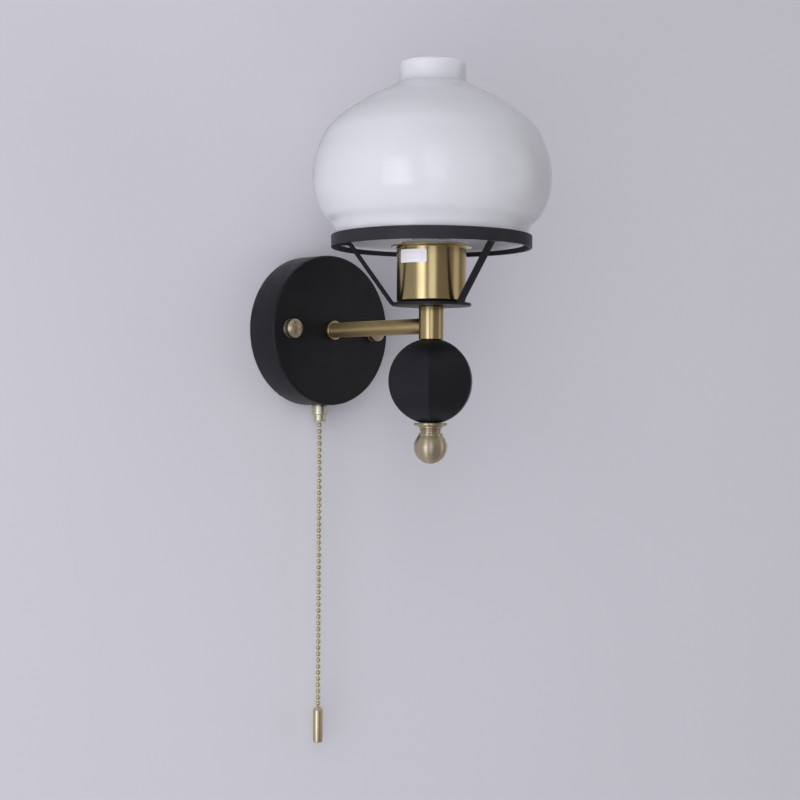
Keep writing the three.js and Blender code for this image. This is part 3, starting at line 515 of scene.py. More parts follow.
def smooth(mesh, sharp):
    """Shades a mesh smooth but for edges sharper than the angle."""
    mesh.polygons.foreach_set("use_smooth", [True] * len(mesh.polygons))
    mesh.set_sharp_from_angle(angle=math.radians(sharp))


def place_object(name, data):
    """A new object of that name in the scene."""
    made = bpy.data.objects.new(name, data)
    bpy.context.scene.collection.objects.link(made)
    return made


def make_object(name, vertices, faces, place, sharp=SHARP):
    """A smooth-shaded object from points and faces, with its faces turned outwards."""
    mesh = bpy.data.meshes.new(name)
    mesh.from_pydata(vertices, [], faces)
    mesh.transform(place)
    work = bmesh.new()
    work.from_mesh(mesh)
    bmesh.ops.remove_doubles(work, verts=work.verts, dist=1e-7)
    bmesh.ops.recalc_face_normals(work, faces=work.faces)
    work.to_mesh(mesh)
    work.free()
    smooth(mesh, sharp)
    return place_object(name, mesh)


def lathe(name, profile, place, sides=ROUND_SIDES, sharp=SHARP, radius_at=None):
    """A body turned from (radius, height) points. One that leaves the axis closes on itself."""
    vertices, rings = [], []
    for radius, height in profile:
        first = len(vertices)
        if radius <= 0:
            vertices.append((0, 0, height))
        else:
            for angle in even(0, TURN, sides)[:-1]:
                r = radius_at(radius, height, angle) if radius_at else radius
                vertices.append(around(r, angle, height))
        rings.append(range(first, len(vertices)))
    if profile[0][0] > 0 or profile[-1][0] > 0:
        rings.append(rings[0])
    faces = []
    for low, high in zip(rings, rings[1:]):
        for k in range(sides):
            corners = [low[k % len(low)], low[(k + 1) % sides % len(low)]]
            corners += [high[(k + 1) % sides % len(high)], high[k % len(high)]]
            faces.append(tuple(dict.fromkeys(corners)))
    return make_object(name, vertices, faces, place, sharp)


def plain_tube(name, size, bore, edge, place, sides=SMALL_SIDES):
    """A tube with broken edges, by its size as radius, start and end."""
    outer, low, high = size
    profile = softened([
        (bore, low, edge / 2), (outer, low, edge), (outer, high, edge), (bore, high, edge / 2),
    ])
    return lathe(name, profile, place, sides)


def tube_faces(rows, count):
    """Faces along a solid bar of rows with that many points each, and over its ends."""
    faces = [range(count), range((rows - 1) * count, rows * count)]
    for start in range(0, (rows - 1) * count, count):
        for j in range(count):
            n = (j + 1) % count
            faces.append((start + j, start + n, start + count + n, start + count + j))
    return [tuple(face) for face in faces]


def threaded(name, core, crest, low, high, pitch, place, inner=0.0, sides=SMALL_SIDES):
    """A rod or shell with a single-start rounded thread, plain over the last half turn."""
    rows = max(2, round((high - low) / pitch * 8))
    run_out = pitch / 2

    def wave(radius, height, angle):
        if radius < core * 0.98:
            return radius
        fade = min(1.0, (height - low) / run_out, (high - height) / run_out)
        phase = math.cos(TURN * height / pitch - angle)
        return core + (crest - core) * max(0.0, fade) * (0.5 + 0.5 * phase)

    side = [(core, height) for height in even(low, high, rows)]
    return lathe(name, [(inner, low), *side, (inner, high)], place, sides, 50, wave)


def combined(name, pieces, sharp=SHARP):
    """Several made objects joined into one of that name."""
    work = bmesh.new()
    for piece in pieces:
        work.from_mesh(piece.data)
    mesh = bpy.data.meshes.new(name)
    work.to_mesh(mesh)
    work.free()
    for piece in pieces:
        bpy.data.meshes.remove(piece.data)
    smooth(mesh, sharp)
    return place_object(name, mesh)


def cut_away(piece, tool):
    """Cuts the tool out of the piece, and removes the tool."""
    modifier = piece.modifiers.new("cut", "BOOLEAN")
    modifier.object, modifier.operation, modifier.solver = tool, "DIFFERENCE", "EXACT"
    bpy.context.view_layer.update()
    cut = piece.evaluated_get(bpy.context.evaluated_depsgraph_get())
    mesh = bpy.data.meshes.new_from_object(cut)
    piece.modifiers.clear()
    piece.data = mesh
    smooth(mesh, SHARP)
    bpy.data.objects.remove(tool)


def curve_through(points, per_span):
    """Points on the smooth line through given ones, even in the run of the list."""
    padded = [points[0], *points, points[-1]]
    out = []
    for i in range(len(points) - 1):
        a, b, c, d = (Vector(p) for p in padded[i:i + 4])
        for k in range(per_span):
            t = k / per_span
            square, cube = 2 * a - 5 * b + 4 * c - d, 3 * b - a - 3 * c + d
            out.append(tuple(0.5 * (2 * b + (c - a) * t + square * t ** 2 + cube * t ** 3)))
    return [*out, tuple(points[-1])]


def rounded_rectangle(half_width, half_height, radius, steps=4):
    """The outline of a flat bar's section, with rounded corners."""
    out = []
    for k, (sx, sy) in enumerate(((1, 1), (-1, 1), (-1, -1), (1, -1))):
        x, y = sx * (half_width - radius), sy * (half_height - radius)
        for step in range(steps + 1):
            angle = QUARTER * (k + step / steps)
            out.append((x + radius * math.cos(angle), y + radius * math.sin(angle)))
    return out


def dress(piece, slot, material, *nodes, body="fixture"):
    """Gives a piece its material and its body, and hides the CAD nodes it stands for; slot is not
    used.
    """
    piece.data.materials.append(material)
    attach(piece, body)
    if nodes:
        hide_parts(*nodes)
    return piece


def finish_node(node, material, sharp=30, bevel=0.0):
    """Gives a CAD node its material, smooth shading and a bevel of that many millimetres."""
    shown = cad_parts[node]
    shown.data.materials.clear()
    shown.data.materials.append(material)
    smooth(shown.data, sharp)
    if bevel:
        edge = shown.modifiers.new("edge", "BEVEL")
        edge.width, edge.segments = bevel * MM, 2
        edge.limit_method, edge.angle_limit = "ANGLE", math.radians(50)


# Pieces


def cap_nut(node, sizes, brass):
    """A domed nut with a groove over its rim."""
    radius, low, high = off_wall(node)
    groove, dome = sizes.nut_groove, sizes.nut_dome
    rim, soft = low + sizes.nut_rim, groove / 2
    dome_radius = (radius ** 2 + dome ** 2) / (2 * dome)
    centre = high - dome_radius
    start = math.asin((radius - soft) / dome_radius)
    profile = softened([
        (0, low), (radius, low, soft), (radius, rim, soft), (radius - groove, rim),
        (radius - groove, rim + groove), (radius, rim + groove, soft), (radius, high - dome, soft),
        (radius - soft, centre + dome_radius * math.cos(start)),
    ])
    profile += arc(dome_radius, centre, start, 0, 16)[1:]
    nut = lathe(f"{node}_domed", profile, out_of_wall(middle(node).x), SMALL_SIDES)
    dress(nut, "satin_brass", brass, node)


class MakePlate(Operator):
    """Make the black backplate and its two brass cap nuts"""

    bl_idname = "wall_light.plate"
    bl_label = "Backplate"

    def execute(self, context):
        sizes = context.scene.wall_light_plate
        wall = sizes.wall
        outer, back, front = off_wall("backplate")
        profile = softened([
            (0, front - wall), (outer - wall, front - wall, sizes.edge - wall / 2),
            (outer - wall, back, wall / 3), (outer, back, wall / 3), (outer, front, sizes.edge),
            (0, front),
        ])
        plate = lathe("backplate_shell", profile, out_of_wall(), WIDE_SIDES)
        dress(plate, "black_paint", baked_powder_coat(sizes.enamel), "backplate")
        aged = context.scene.wall_light_brass.aged
        brass = turned_brass("turned_brass_nut", aged, axis="Y", rough=0.34, spread=0.2)
        for node in ("cap_nut_left", "cap_nut_right"):
            cap_nut(node, sizes, brass)
        return {"FINISHED"}


class MakeArm(Operator):
    """Make the brass arm and the collar at its foot"""

    bl_idname = "wall_light.arm"
    bl_label = "Arm"

    def execute(self, context):
        brass = context.scene.wall_light_brass
        edge = brass.edge
        drawn = drawn_brass("drawn_brass_arm", brass.tone, axis="Y", rough=0.42, spread=0.9)
        size, place = off_wall("arm_tube"), out_of_wall()
        arm = plain_tube("arm_tube_drawn", size, size[0] - brass.tube_wall, edge, place)
        dress(arm, "satin_brass", drawn, "arm_tube")
        turned = turned_brass("turned_brass_collar", brass.tone, axis="Y", rough=0.3, spread=0.2)
        rim, low, high = off_wall("arm_collar")
        bore = size[0] + edge / 4
        profile = softened([
            (bore, low), (rim, low, edge), (rim, high, edge * 2.4), (bore, high, edge / 2),
        ])
        collar = lathe("arm_collar_turned", profile, place, SMALL_SIDES)
        dress(collar, "satin_brass", turned, "arm_collar")
        return {"FINISHED"}


class MakeStem(Operator):
    """Make the brass stem sleeve"""

    bl_idname = "wall_light.stem"
    bl_label = "Stem"

    def execute(self, context):
        brass = context.scene.wall_light_brass
        outer, low, high = upright("stem_tube")
        size, inner = (outer, low - CLOSER, high), outer - 1.5 * brass.tube_wall
        stem = plain_tube("stem_sleeve", size, inner, brass.edge, ON_LAMP, ROUND_SIDES)
        # The arm's hole goes as far as the stem's axis
        arm, start, end = off_wall("arm_tube")[0] + ARM_PLAY, -LAMP.y - 2 * outer, -LAMP.y
        bore = [(0, start), (arm, start), (arm, end), (0, end)]
        cut_away(stem, lathe("arm_bore", bore, out_of_wall(), SMALL_SIDES))
        drawn = drawn_brass("drawn_brass_stem", brass.tone, rough=0.27)
        dress(stem, "satin_brass", drawn, "stem_tube")
        return {"FINISHED"}


def bent_strap(sizes, low, high, tab_end, turn):
    """One strap: its centre line bent in the radial plane, then swept by its section."""
    half_sheet, bend = sizes.sheet / 2, sizes.strap_bend
    line = softened([
        (DISC_RADIUS - sizes.strap_width, low + half_sheet), (DISC_RADIUS, low + half_sheet, bend),
        (tab_end - sizes.tab_length, high - half_sheet, bend), (tab_end, high - half_sheet),
    ], steps=5)
    section = rounded_rectangle(sizes.strap_width / 2, half_sheet, sizes.edge)
    spots = [Vector(point) for point in line]
    ways = [(b - a).normalized() for a, b in zip(spots, spots[1:])]
    vertices = []
    for here, back, ahead in zip(spots, [ways[0], *ways], [*ways, ways[-1]]):
        along = (back + ahead).normalized()
        across = Vector((-along.y, along.x)) / along.dot(ahead)
        for side, lift in section:
            spot = here + across * lift
            vertices.append((spot.x, side, spot.y))
    place = ON_LAMP @ Matrix.Rotation(turn, 4, "Z")
    return make_object("strap", vertices, tube_faces(len(line), len(section)), place)


class MakeGallery(Operator):
    """Make the gallery: its disc, its bent straps and the ring"""

    bl_idname = "wall_light.gallery"
    bl_label = "Gallery"

    def execute(self, context):
        sizes = context.scene.wall_light_gallery
        coat = baked_powder_coat(context.scene.wall_light_plate.enamel)
        size = upright("gallery_ring")
        inner = size[0] - sizes.ring_wall
        ring = plain_tube("gallery_hoop", size, inner, sizes.edge, ON_LAMP, WIDE_SIDES)
        dress(ring, "black_paint", baked_powder_coat(sizes.hoop, gloss=0.14), "gallery_ring")
        low, high = upright("gallery_frame")[1:]
        size = DISC_RADIUS, low, low + sizes.sheet
        parts = [plain_tube("gallery_disc", size, PIPE_HOLE, sizes.edge, ON_LAMP, ROUND_SIDES)]
        for k in range(sizes.straps):
            turn = -QUARTER + k * TURN / sizes.straps
            parts.append(bent_strap(sizes, low, high, inner - TAB_PLAY, turn))
        dress(combined("gallery_disc_and_straps", parts), "black_paint", coat, "gallery_frame")
        return {"FINISHED"}


def paper_label(sizes, cup, high):
    """A bare paper label on the cup's left side, a little askew, with rounded corners."""
    start, end = math.radians(-194), math.radians(-142)
    lift, thick, corner = 0.05 * MM, 0.12 * MM, 0.8 * MM
    slope = math.tan(math.radians(-1))
    columns, width = 40, (end - start) * cup
    vertices = []
    for share in even(0, 1, columns):
        angle = start + (end - start) * share
        nearness = max(0.0, corner - min(share, 1 - share) * width)
        cut = corner - math.sqrt(corner ** 2 - nearness ** 2)
        top = high - cut + slope * (share - 0.5) * width
        foot = top - sizes.label_height + 2 * cut
        under, over = cup + lift, cup + lift + thick
        for radius, height in ((under, foot), (under, top), (over, top), (over, foot)):
            vertices.append(around(radius, angle, height))
    label = make_object("cup_label", vertices, tube_faces(columns + 1, 4), ON_LAMP)
    dress(label, "white_nylon", label_paper(sizes.paper))


class MakeCup(Operator):
    """Make the brass lampholder cup and its bare label"""

    bl_idname = "wall_light.cup"
    bl_label = "Lampholder cup"

    def execute(self, context):
        sizes = context.scene.wall_light_cup
        lip, low, high = upright("lampholder_cup")
        outer, wall = sizes.diameter / 2, sizes.wall
        round_lip = wall * 0.45
        profile = softened([
            (PIPE_HOLE, low), (outer, low, sizes.floor_bend), (outer, high - wall, sizes.lip_bend),
            (lip, high - wall, round_lip), (lip, high, round_lip),
            (outer - wall, high, sizes.lip_bend + wall),
            (outer - wall, low + wall, sizes.floor_bend - wall / 2), (PIPE_HOLE, low + wall),
        ], steps=8)
        cup = lathe("lampholder_cup_drawn", profile, ON_LAMP, WIDE_SIDES)
        brass = drawn_brass("drawn_brass_cup", context.scene.wall_light_brass.tone, rough=0.22)
        dress(cup, "satin_brass", brass, "lampholder_cup")
        paper_label(sizes, outer, high - sizes.label_drop)
        return {"FINISHED"}


def screw_shell(pitch, brass):
    """The stamped shell, with the thread that the bulb's cap turns in."""
    outer, low, high = upright("screw_shell")
    wall, foot, depth, rows = 0.5 * MM, 4 * MM, 0.35 * MM, 60

    def wave(radius, height, angle):
        if radius < outer - 2 * wall or not low + 2 * wall < height < high - wall:
            return radius
        return radius - depth * (0.5 + 0.5 * math.cos(TURN * height / pitch - angle))

    up = even(low + wall, high, rows)
    profile = [(outer - foot, low), (outer - wall, low)]
    profile += [(outer, z) for z in up] + [(outer - wall, z) for z in reversed(up)]
    profile.append((outer - foot, low + wall))
    shell = lathe("screw_shell_stamped", profile, ON_LAMP, sharp=45, radius_at=wave)
    dress(shell, "pale_brass", brass, "screw_shell")


class MakeLampholder(Operator):
    """Make the porcelain lampholder and its screw shell, and finish the contact"""

    bl_idname = "wall_light.lampholder"
    bl_label = "Lampholder"

    def execute(self, context):
        sizes = context.scene.wall_light_bulb
        outer, low, high = upright("lampholder_body")
        rim, floor = high + sizes.rim_lift, low + 4 * MM
        bore, soft = 14.5 * MM, 1.5 * MM
        profile = softened([
            (PIPE_HOLE, low), (outer, low, soft), (outer, rim, soft), (bore, rim, soft / 2),
            (bore, floor, soft / 2), (PIPE_HOLE, floor),
        ])
        body = lathe("lampholder_porcelain", profile, ON_LAMP)
        dress(body, "white_ceramic", glazed_porcelain(sizes.porcelain), "lampholder_body")
        pale = context.scene.wall_light_brass.pale
        brass = drawn_brass("stamped_brass_contact", pale, rough=0.3)
        screw_shell(sizes.thread_pitch, brass)
        finish_node("centre_contact", brass, bevel=0.12)
        return {"FINISHED"}


def blown_globe(sizes):
    """The blown globe, with the throat that goes down into the cap."""
    radius, low, high = upright("bulb_globe")
    centre, wall = high - radius, sizes.glass_wall
    throat, neck = 12.3 * MM, 2 * MM
    shoulder = math.pi - math.asin(throat / radius * 1.02)
    profile = arc(radius, centre, 0, shoulder, 40)
    profile += [(throat, centre + radius * math.cos(shoulder) - neck), (throat, low)]
    profile += [(throat - wall, low), *arc(radius - wall, centre, shoulder, 0, 40)]
    globe = lathe("bulb_globe_blown", profile, ON_LAMP)
    glass = frosted_lamp_glass(sizes.glass)
    dress(globe, "frosted_glass", glass, "bulb_globe", body="bulb")


class MakeBulb(Operator):
    """Make the lamp bulb: frosted globe, threaded cap and insulator"""

    bl_idname = "wall_light.bulb"
    bl_label = "Bulb"

    def execute(self, context):
        sizes = context.scene.wall_light_bulb
        blown_globe(sizes)
        crest, low, high = upright("bulb_cap")
        cap = threaded(
            "bulb_cap_threaded", crest - sizes.thread_depth, crest, low + 1 * MM, high,
            sizes.thread_pitch, ON_LAMP, inner=crest - 1.6 * MM, sides=ROUND_SIDES,
        )
        dress(cap, "zinc_steel", zinc_plated_steel(), "bulb_cap", body="bulb")
        foot, low, high = upright("bulb_insulator")
        tip, tip_height = 4.75 * MM, 1.2 * MM
        profile = softened([
            (0, low), (tip, low, 0.8 * MM), (tip, low + tip_height), (foot, high, 0.5 * MM),
            (0, high),
        ])
        black = moulded_plastic("vitrified_black_glass", "#15161A", 0.22)
        insulator = lathe("bulb_insulator_moulded", profile, ON_LAMP, SMALL_SIDES)
        dress(insulator, "black_moulding", black, "bulb_insulator", body="bulb")
        return {"FINISHED"}


# Outline of the shade: height as a share of the body, and radius as a share of the way to the
# widest radius from the mouth's, or above the widest place from the neck's
LOWER_SHADE = [(0, 0), (0.055, 0.015), (0.115, 0.16), (0.17, 0.52), (0.24, 0.79), (0.32, 0.96)]
UPPER_SHADE = [
    (0.41, 1), (0.505, 0.984), (0.602, 0.926), (0.69, 0.845), (0.769, 0.702), (0.838, 0.52),
    (0.897, 0.345), (0.941, 0.173), (0.975, 0.055), (1, 0),
]


def shade_outline(sizes):
    """The outside of the glass, from its mouth up to its neck."""
    widest, low, high = upright("shade")
    body, half_wall = high - low - sizes.neck_height, sizes.wall / 2
    points = []
    for end, shares in ((sizes.mouth / 2, LOWER_SHADE), (sizes.neck / 2, UPPER_SHADE)):
        points += [(end + (widest - end) * r, low + body * h) for h, r in shares]
    points[0] = (sizes.mouth / 2, low + half_wall)
    return curve_through([*points, (sizes.neck / 2, high - half_wall)], 6)


def rounded_rim(start, end, up, steps=8):
    """Points of a half-round rim between two edges of the glass."""
    centre, reach = (start + end) / 2, (start - end) / 2
    rise = Vector((0, up * reach.length))
    angles = even(0, math.pi, steps)[1:-1]
    return [centre + reach * math.cos(a) + rise * math.sin(a) for a in angles]


class MakeShade(Operator):
    """Make the opal glass shade"""

    bl_idname = "wall_light.shade"
    bl_label = "Shade"

    def execute(self, context):
        sizes = context.scene.wall_light_shade
        outside = [Vector(point) for point in shade_outline(sizes)]
        inside = []
        befores, afters = [outside[0], *outside], [*outside[1:], outside[-1]]
        for before, here, after in zip(befores, outside, afters):
            along = (after - before).normalized()
            inside.append(here + Vector((-along.y, along.x)) * sizes.wall)
        rim = rounded_rim(outside[-1], inside[-1], 1)
        foot = rounded_rim(inside[0], outside[0], -1)
        profile = outside + rim + inside[::-1] + foot
        shade = lathe("shade_blown_glass", profile, ON_LAMP, WIDE_SIDES, 60)
        dress(shade, "opal_glass", cased_opal_glass(sizes.glass), "shade", body="shade_body")
        return {"FINISHED"}


def ball_of_gores(sizes, enamel):
    """A ball of upright gores: each level section is a polygon with rounded corners."""
    low, high = upright("faceted_ball")[1:]
    # The gores stop at this latitude, where the stem and the finial take over
    limit = math.radians(76)
    tall = (high - low) / 2 / math.sin(limit)
    rings, per_gore, gore = 72, 20, TURN / sizes.gores
    count = sizes.gores * per_gore
    vertices = []
    for latitude in even(-limit, limit, rings):
        apothem = sizes.across / 2 * math.cos(latitude)
        soft = min(sizes.arris, apothem * 0.3)
        for j in range(count):
            # Distance from the nearest ridge, in gores
            off = abs(j / per_gore - round(j / per_gore)) * gore
            radius = gore_radius(apothem, soft, off, gore)
            turn = sizes.ridge_turn + j / per_gore * gore
            vertices.append(around(radius, turn, tall * math.sin(latitude)))
    place = ON_LAMP @ Matrix.Translation((0, 0, (low + high) / 2))
    ball = make_object("ball_of_gores", vertices, tube_faces(rings + 1, count), place, 40)
    dress(ball, "black_paint", baked_powder_coat(enamel), "faceted_ball")


def gore_radius(apothem, soft, off, gore):
    """Where a ray meets a polygon with rounded corners, by its angle off the corner."""
    corner = (apothem - soft) / math.cos(gore / 2)
    reach = math.atan2(soft * math.sin(gore / 2), corner + soft * math.cos(gore / 2))
    if off >= reach:
        return apothem / math.cos(gore / 2 - off)
    along = corner * math.cos(off)
    return along + math.sqrt(max(0.0, along ** 2 - corner ** 2 + soft ** 2))


def turned_finial(brass):
    """A turned finial: flange, step, bead between two grooves, collar and ball."""
    ball, low, high = upright("finial")
    high += CLOSER
    edge, nick, crisp = brass.edge, 0.25 * MM, 0.15 * MM
    flange, step, bead, groove, collar = (mm * MM for mm in (10.5, 7.5, 7.0, 6.3, 7.7))
    flange_low, step_low, bead_low, top = (high - mm * MM for mm in (2.2, 3.3, 5.5, 6.4))
    centre = low + ball
    start = math.asin(collar / ball)
    profile = softened([
        (0, high), (flange, high, edge), (flange, flange_low + 0.7 * MM, edge),
        (step, flange_low, 0.6 * MM), (step, step_low, edge), (groove, step_low, crisp),
        (groove, step_low - nick), (bead, (step_low + bead_low) / 2, 1.0 * MM),
        (groove, bead_low + nick), (groove, top, crisp), (collar, top, edge),
        (collar, max(centre + ball * math.cos(start), top - 1.2 * MM)),
    ])
    profile += arc(ball, centre, start, math.pi, 40)[1:]
    finial = lathe("finial_turned", profile, ON_LAMP)
    aged = turned_brass("turned_brass_finial", brass.aged, rough=0.38, spread=0.9, cut=0.08)
    dress(finial, "satin_brass", aged, "finial")


class MakeDrop(Operator):
    """Make the faceted ball and the finial under the stem"""

    bl_idname = "wall_light.drop"
    bl_label = "Ball and finial"

    def execute(self, context):
        ball_of_gores(context.scene.wall_light_drop, context.scene.wall_light_plate.enamel)
        turned_finial(context.scene.wall_light_brass)
        return {"FINISHED"}


def switch_outlet(brass):
    """The nozzle that the chain comes out of, and the nut that holds it."""
    pale = turned_brass("nickel_washed_brass", brass.pale, rough=0.36, spread=0.3)
    nozzle = upright("switch_neck")[0]
    # Node, piece, radius of the hole, and the break of the edges in usual ones
    for node, name, bore, blunt in (
        ("switch_neck", "switch_nozzle", 1.7 * MM, 2),
        ("switch_ring_nut", "switch_nut_turned", nozzle + 0.1 * MM, 1.4),
    ):
        tube = plain_tube(name, upright(node), bore, blunt * brass.edge, ON_SWITCH)
        dress(tube, "pale_brass", pale, node)


def return_spring():
    """The return spring at its rest length; on the switch the pin's head shortens it when pulled.
    """
    outer, low, high = upright("return_spring")
    wire, turns, per_turn, sides = 0.4 * MM, 4, 32, 10
    rows = turns * per_turn
    vertices = []
    heights = even(low + wire, high - wire, rows)
    for angle, height in zip(even(0, turns * TURN, rows), heights):
        for side in even(0, TURN, sides)[:-1]:
            reach = outer - wire + wire * math.cos(side)
            vertices.append(around(reach, angle, height + wire * math.sin(side)))
    faces = tube_faces(rows + 1, sides)
    spring = make_object("return_spring_wound", vertices, faces, ON_SWITCH, 50)
    dress(spring, "zinc_steel", zinc_plated_steel(), "return_spring")
    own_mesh(spring)


def turned_weight(sizes):
    """A turned cylinder with a tapered shoulder."""
    radius, low, high = upright("chain_weight")
    profile = softened([
        (0, low), (radius, low, 0.6 * MM), (radius, high - 2 * MM, 1.2 * MM),
        (1.9 * MM, high, 0.4 * MM), (0, high),
    ])
    weight = lathe("chain_weight_turned", profile, ON_SWITCH, SMALL_SIDES)
    brass = drawn_brass("polished_brass_weight", sizes.weight, rough=0.3)
    return dress(weight, "satin_brass", brass, "chain_weight", body="chain")


def bead_chain(sizes, weight):
    """Pressed hollow beads on short link wires, hanging straight."""
    low, high = upright("pull_chain")[1:]
    pitch = (high - low) / sizes.beads
    radius, wire = sizes.bead / 2, sizes.link / 2
    mouth, sunk = math.asin(wire / radius * 1.6), radius * 0.93
    parts = []
    for centre in even(high - pitch / 2, low + pitch / 2, sizes.beads - 1):
        bead = arc(radius, centre, mouth, math.pi - mouth, 10)
        bead = [(0, centre + sunk), *bead, (0, centre - sunk)]
        parts.append(lathe("bead", bead, ON_SWITCH, 20))
    rods = [(0, high), (wire, high), (wire, low), (0, low)]
    parts.append(lathe("links", rods, ON_SWITCH, 10))
    chain = combined("bead_chain", parts, 50)
    brass = turned_brass("brass_plated_beads", sizes.chain, rough=0.34, spread=0.0, cut=0.05)
    dress(chain, "pale_brass", brass, "pull_chain", body="chain")


class MakePull(Operator):
    """Make the switch outlet, its return spring, the bead chain and its weight"""

    bl_idname = "wall_light.pull"
    bl_label = "Pull switch and chain"

    def execute(self, context):
        sizes = context.scene.wall_light_pull
        switch_outlet(context.scene.wall_light_brass)
        return_spring()
        bead_chain(sizes, turned_weight(sizes))
        return {"FINISHED"}


class FinishFixings(Operator):
    """Finish the bracket, studs, nuts, pipe and the rest that the plate hides"""

    bl_idname = "wall_light.fixings"
    bl_label = "Hidden fixings"

    def execute(self, context):
        steel = zinc_plated_steel()
        tone = context.scene.wall_light_brass.tone
        brass = drawn_brass("drawn_brass_screw", tone, axis="Y")
        nylon = moulded_plastic("moulded_nylon", "#E6E5DE", 0.5)
        phenolic = moulded_plastic("moulded_phenolic", "#17181B", 0.35)
        # Node, finish, degrees from which an edge stays crisp, and its bevel in millimetres
        for node, finish, sharp, bevel in (
            ("wall_bracket", steel, 30, 0.2),
            ("stud_nut_left", steel, 30, 0.2),
            ("stud_nut_right", steel, 30, 0.2),
            ("arm_locknut", steel, 30, 0.2),
            ("pipe_locknut", steel, 30, 0.2),
            ("arm_lock_washer", steel, 40, 0),
            ("pull_pin", steel, 40, 0),
            ("threaded_pipe", steel, SHARP, 0),
            ("earth_screw", brass, SHARP, 0),
            ("terminal_block", nylon, 30, 0.3),
            ("wire_bushing", nylon, SHARP, 0),
            ("switch_block", phenolic, 30, 0.5),
        ):
            finish_node(node, finish, sharp, bevel)
        depth, pitch = 0.35 * MM, 0.7 * MM
        for node in ("bracket_stud_left", "bracket_stud_right"):
            crest, low, high = off_wall(node)
            name, place = f"{node}_threaded", out_of_wall(middle(node).x)
            stud = threaded(name, crest - depth, crest, low, high, pitch, place, sides=24)
            dress(stud, "zinc_steel", steel, node)
        return {"FINISHED"}


class FinishWiring(Operator):
    """Finish the inner wires in their sleeves"""

    bl_idname = "wall_light.wiring"
    bl_label = "Wires"

    def execute(self, context):
        brown = moulded_plastic("brown_pvc_sleeve", "#6B422B", 0.42)
        blue = moulded_plastic("blue_pvc_sleeve", "#2E63A6", 0.42)
        sleeves = {
            "supply_live_wire": brown,
            "lamp_live_wire": brown,
            "neutral_wire": blue,
            "earth_wire": striped_earth_sleeve(),
        }
        for node, sleeve in sleeves.items():
            finish_node(node, sleeve, sharp=70)
        return {"FINISHED"}


# Stage


def photo_camera(scene):
    """The photograph's camera."""
    data = bpy.data.cameras.new("photo_camera")
    data.sensor_width, data.lens = 36, 73.4
    data.clip_start, data.clip_end = 0.01, 50
    camera = place_object("photo_camera", data)
    place = Matrix.Translation(Vector((-708.3, -853.5, -50.1)) * MM)
    # Azimuth, pitch up from straight down, and roll
    for axis, degrees in (("Z", -42.92), ("X", 90.205), ("Z", 0.335)):
        place = place @ Matrix.Rotation(math.radians(degrees), 4, axis)
    camera.matrix_world = place
    scene.camera = camera


def painted_room(sizes):
    """The wall, the floor, and cloth round the rest. Light passes through all three."""
    reach, low, back = 4.0, -sizes.drop, sizes.wall_gap
    sides = [(x, y, z) for y in (back, -reach) for z in (low, reach) for x in (-reach, reach)]
    floor = [(x, y, low) for y in (-reach, reach) for x in (-reach, reach)]
    wall_paint = emulsion_paint("wall_emulsion", sizes.wall)
    floor_paint = emulsion_paint("floor_paint", sizes.floor)
    cloth = backdrop_cloth(sizes.curtain)
    one, rest = [(0, 1, 3, 2)], [(4, 6, 7, 5), (0, 2, 6, 4), (5, 7, 3, 1), (2, 3, 7, 6)]
    for name, corners, faces, material in (
        ("studio_wall", sides[:4], one, wall_paint),
        ("studio_floor", floor, one, floor_paint),
        ("studio_curtain", sides, rest, cloth),
    ):
        mesh = bpy.data.meshes.new(name)
        mesh.from_pydata(corners, [], faces)
        mesh.materials.append(material)
        made = place_object(name, mesh)
        made.visible_diffuse = made.visible_glossy = made.visible_shadow = False


def room_around(scene):
    """A plain room: pale wall behind, a dim room in front, a paler ceiling."""
    scene.world = bpy.data.worlds.new("studio_room")
    tree = bare_tree(scene.world)
    look = add(tree, "ShaderNodeTexCoord").outputs["Generated"]
    parts = add(tree, "ShaderNodeSeparateXYZ", {"Vector": look}).outputs
    shown = linear("#827F84")
    # Direction, where the change starts and ends, how far it goes, and the colour there
    for axis, start, end, most, there in (
        ("Y", -0.35, 0.15, 1.0, "#B0AFB8"),
        ("Z", 0.25, 0.8, 0.8, "#C6C6CC"),
    ):
        limits = {"Value": parts[axis], "From Min": start, "From Max": end, "To Max": most}
        share = add(tree, "ShaderNodeMapRange", limits, interpolation_type="SMOOTHSTEP")
        pair = {"Factor": share.outputs[0], 6: shown, 7: linear(there)}
        shown = add(tree, "ShaderNodeMix", pair, data_type="RGBA").outputs[2]
    background = add(tree, "ShaderNodeBackground", {"Color": shown, "Strength": 1.0})
    add(tree, "ShaderNodeOutputWorld", {"Surface": background.outputs[0]})


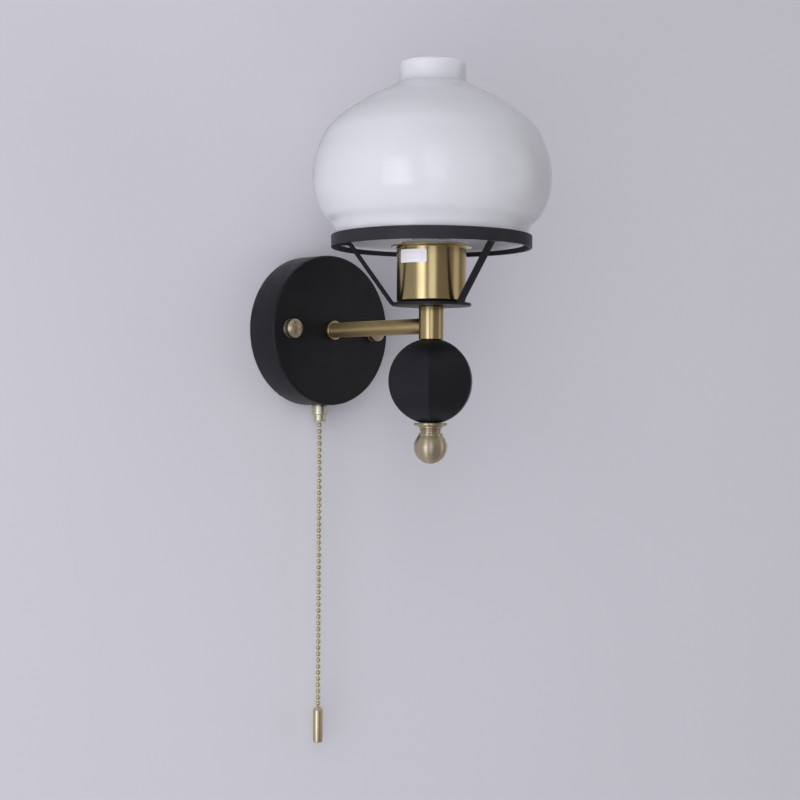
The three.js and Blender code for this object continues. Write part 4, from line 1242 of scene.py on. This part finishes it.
def room_lights():
    """A window at the left with pale curtains, a pale screen in front, a wall at the right."""
    daylight, plain, square = (0.94, 0.98, 1.14), (1, 1, 1), (2.6, 2.6)
    # Name, azimuth, elevation, distance and size in metres, radiance, and tint. The lights
    # called bounce are what the rest of the room sends back: too even to show in the brass
    for name, azimuth, elevation, distance, size, radiance, tint in (
        ("left_window", -74, -8, 3.9, (0.7, 2.8), 1.0, daylight),
        ("left_curtains", -77, -8, 4.0, (2.0, 3.0), 1.45, daylight),
        ("front_screen", -41, 0, 4.0, (1.6, 2.8), 1.1, daylight),
        ("right_wall", 46, 2, 2.4, (1.0, 2.0), 0.45, plain),
        ("bounce_left_high", -55, 20, 4.0, square, 2.07, plain),
        ("bounce_left", -55, -10, 4.0, square, 1.66, plain),
        ("bounce_left_low", -80, -40, 4.0, square, 3.2, plain),
        ("bounce_front", -30, 20, 4.0, square, 0.7, plain),
        ("bounce_right", 65, -10, 4.0, square, 0.72, plain),
        ("bounce_floor", 0, -40, 4.0, square, 0.27, plain),
    ):
        a, e = math.radians(azimuth), math.radians(elevation)
        back = Vector((math.sin(a) * math.cos(e), -math.cos(a) * math.cos(e), math.sin(e)))
        data = bpy.data.lights.new(name, "AREA")
        data.shape = "RECTANGLE"
        data.size, data.size_y = size
        # Radiance is in W per m2 and sr
        data.energy = radiance * math.pi * size[0] * size[1]
        data.color = tint
        lamp = place_object(name, data)
        lamp.location = Vector((0, -0.12, 0.05)) + back * distance
        lamp.rotation_euler = (-back).to_track_quat("-Z", "Y").to_euler()
        lamp.visible_camera = False
        lamp.visible_glossy = "bounce" not in name


class MakeStudio(Operator):
    """Make the camera, the wall, the floor and the light"""

    bl_idname = "wall_light.studio"
    bl_label = "Studio"

    def execute(self, context):
        scene = context.scene
        scene.view_settings.view_transform = "Standard"
        photo_camera(scene)
        painted_room(scene.wall_light_studio)
        room_around(scene)
        room_lights()
        return {"FINISHED"}


MAKERS = [
    MakeStudio, MakePull, MakePlate, MakeArm, MakeStem, MakeGallery, MakeCup, MakeLampholder,
    MakeBulb, MakeShade, MakeDrop, FinishFixings, FinishWiring,
]


class WallLightPanel(Panel):
    """Lists the operators that make the wall light."""

    bl_idname = "VIEW3D_PT_wall_light"
    bl_label = "Wall Light"
    bl_space_type = "VIEW_3D"
    bl_region_type = "UI"
    bl_category = "Wall Light"

    def draw(self, context):
        for maker in MAKERS:
            self.layout.operator(maker.bl_idname)
        for name, group in SETTINGS.items():
            box = self.layout.box()
            for key in group.__annotations__:
                box.prop(getattr(context.scene, name), key)


def register():
    for name, group in SETTINGS.items():
        bpy.utils.register_class(group)
        setattr(bpy.types.Scene, name, PointerProperty(type=group))
    for item in [*MAKERS, WallLightPanel]:
        bpy.utils.register_class(item)


def unregister():
    for item in reversed([*MAKERS, WallLightPanel]):
        bpy.utils.unregister_class(item)
    for name, group in reversed(list(SETTINGS.items())):
        delattr(bpy.types.Scene, name)
        bpy.utils.unregister_class(group)


def main():
    register()
    for maker in MAKERS:
        group, name = maker.bl_idname.split(".")
        getattr(getattr(bpy.ops, group), name)()


if __name__ == "__main__":
    main()
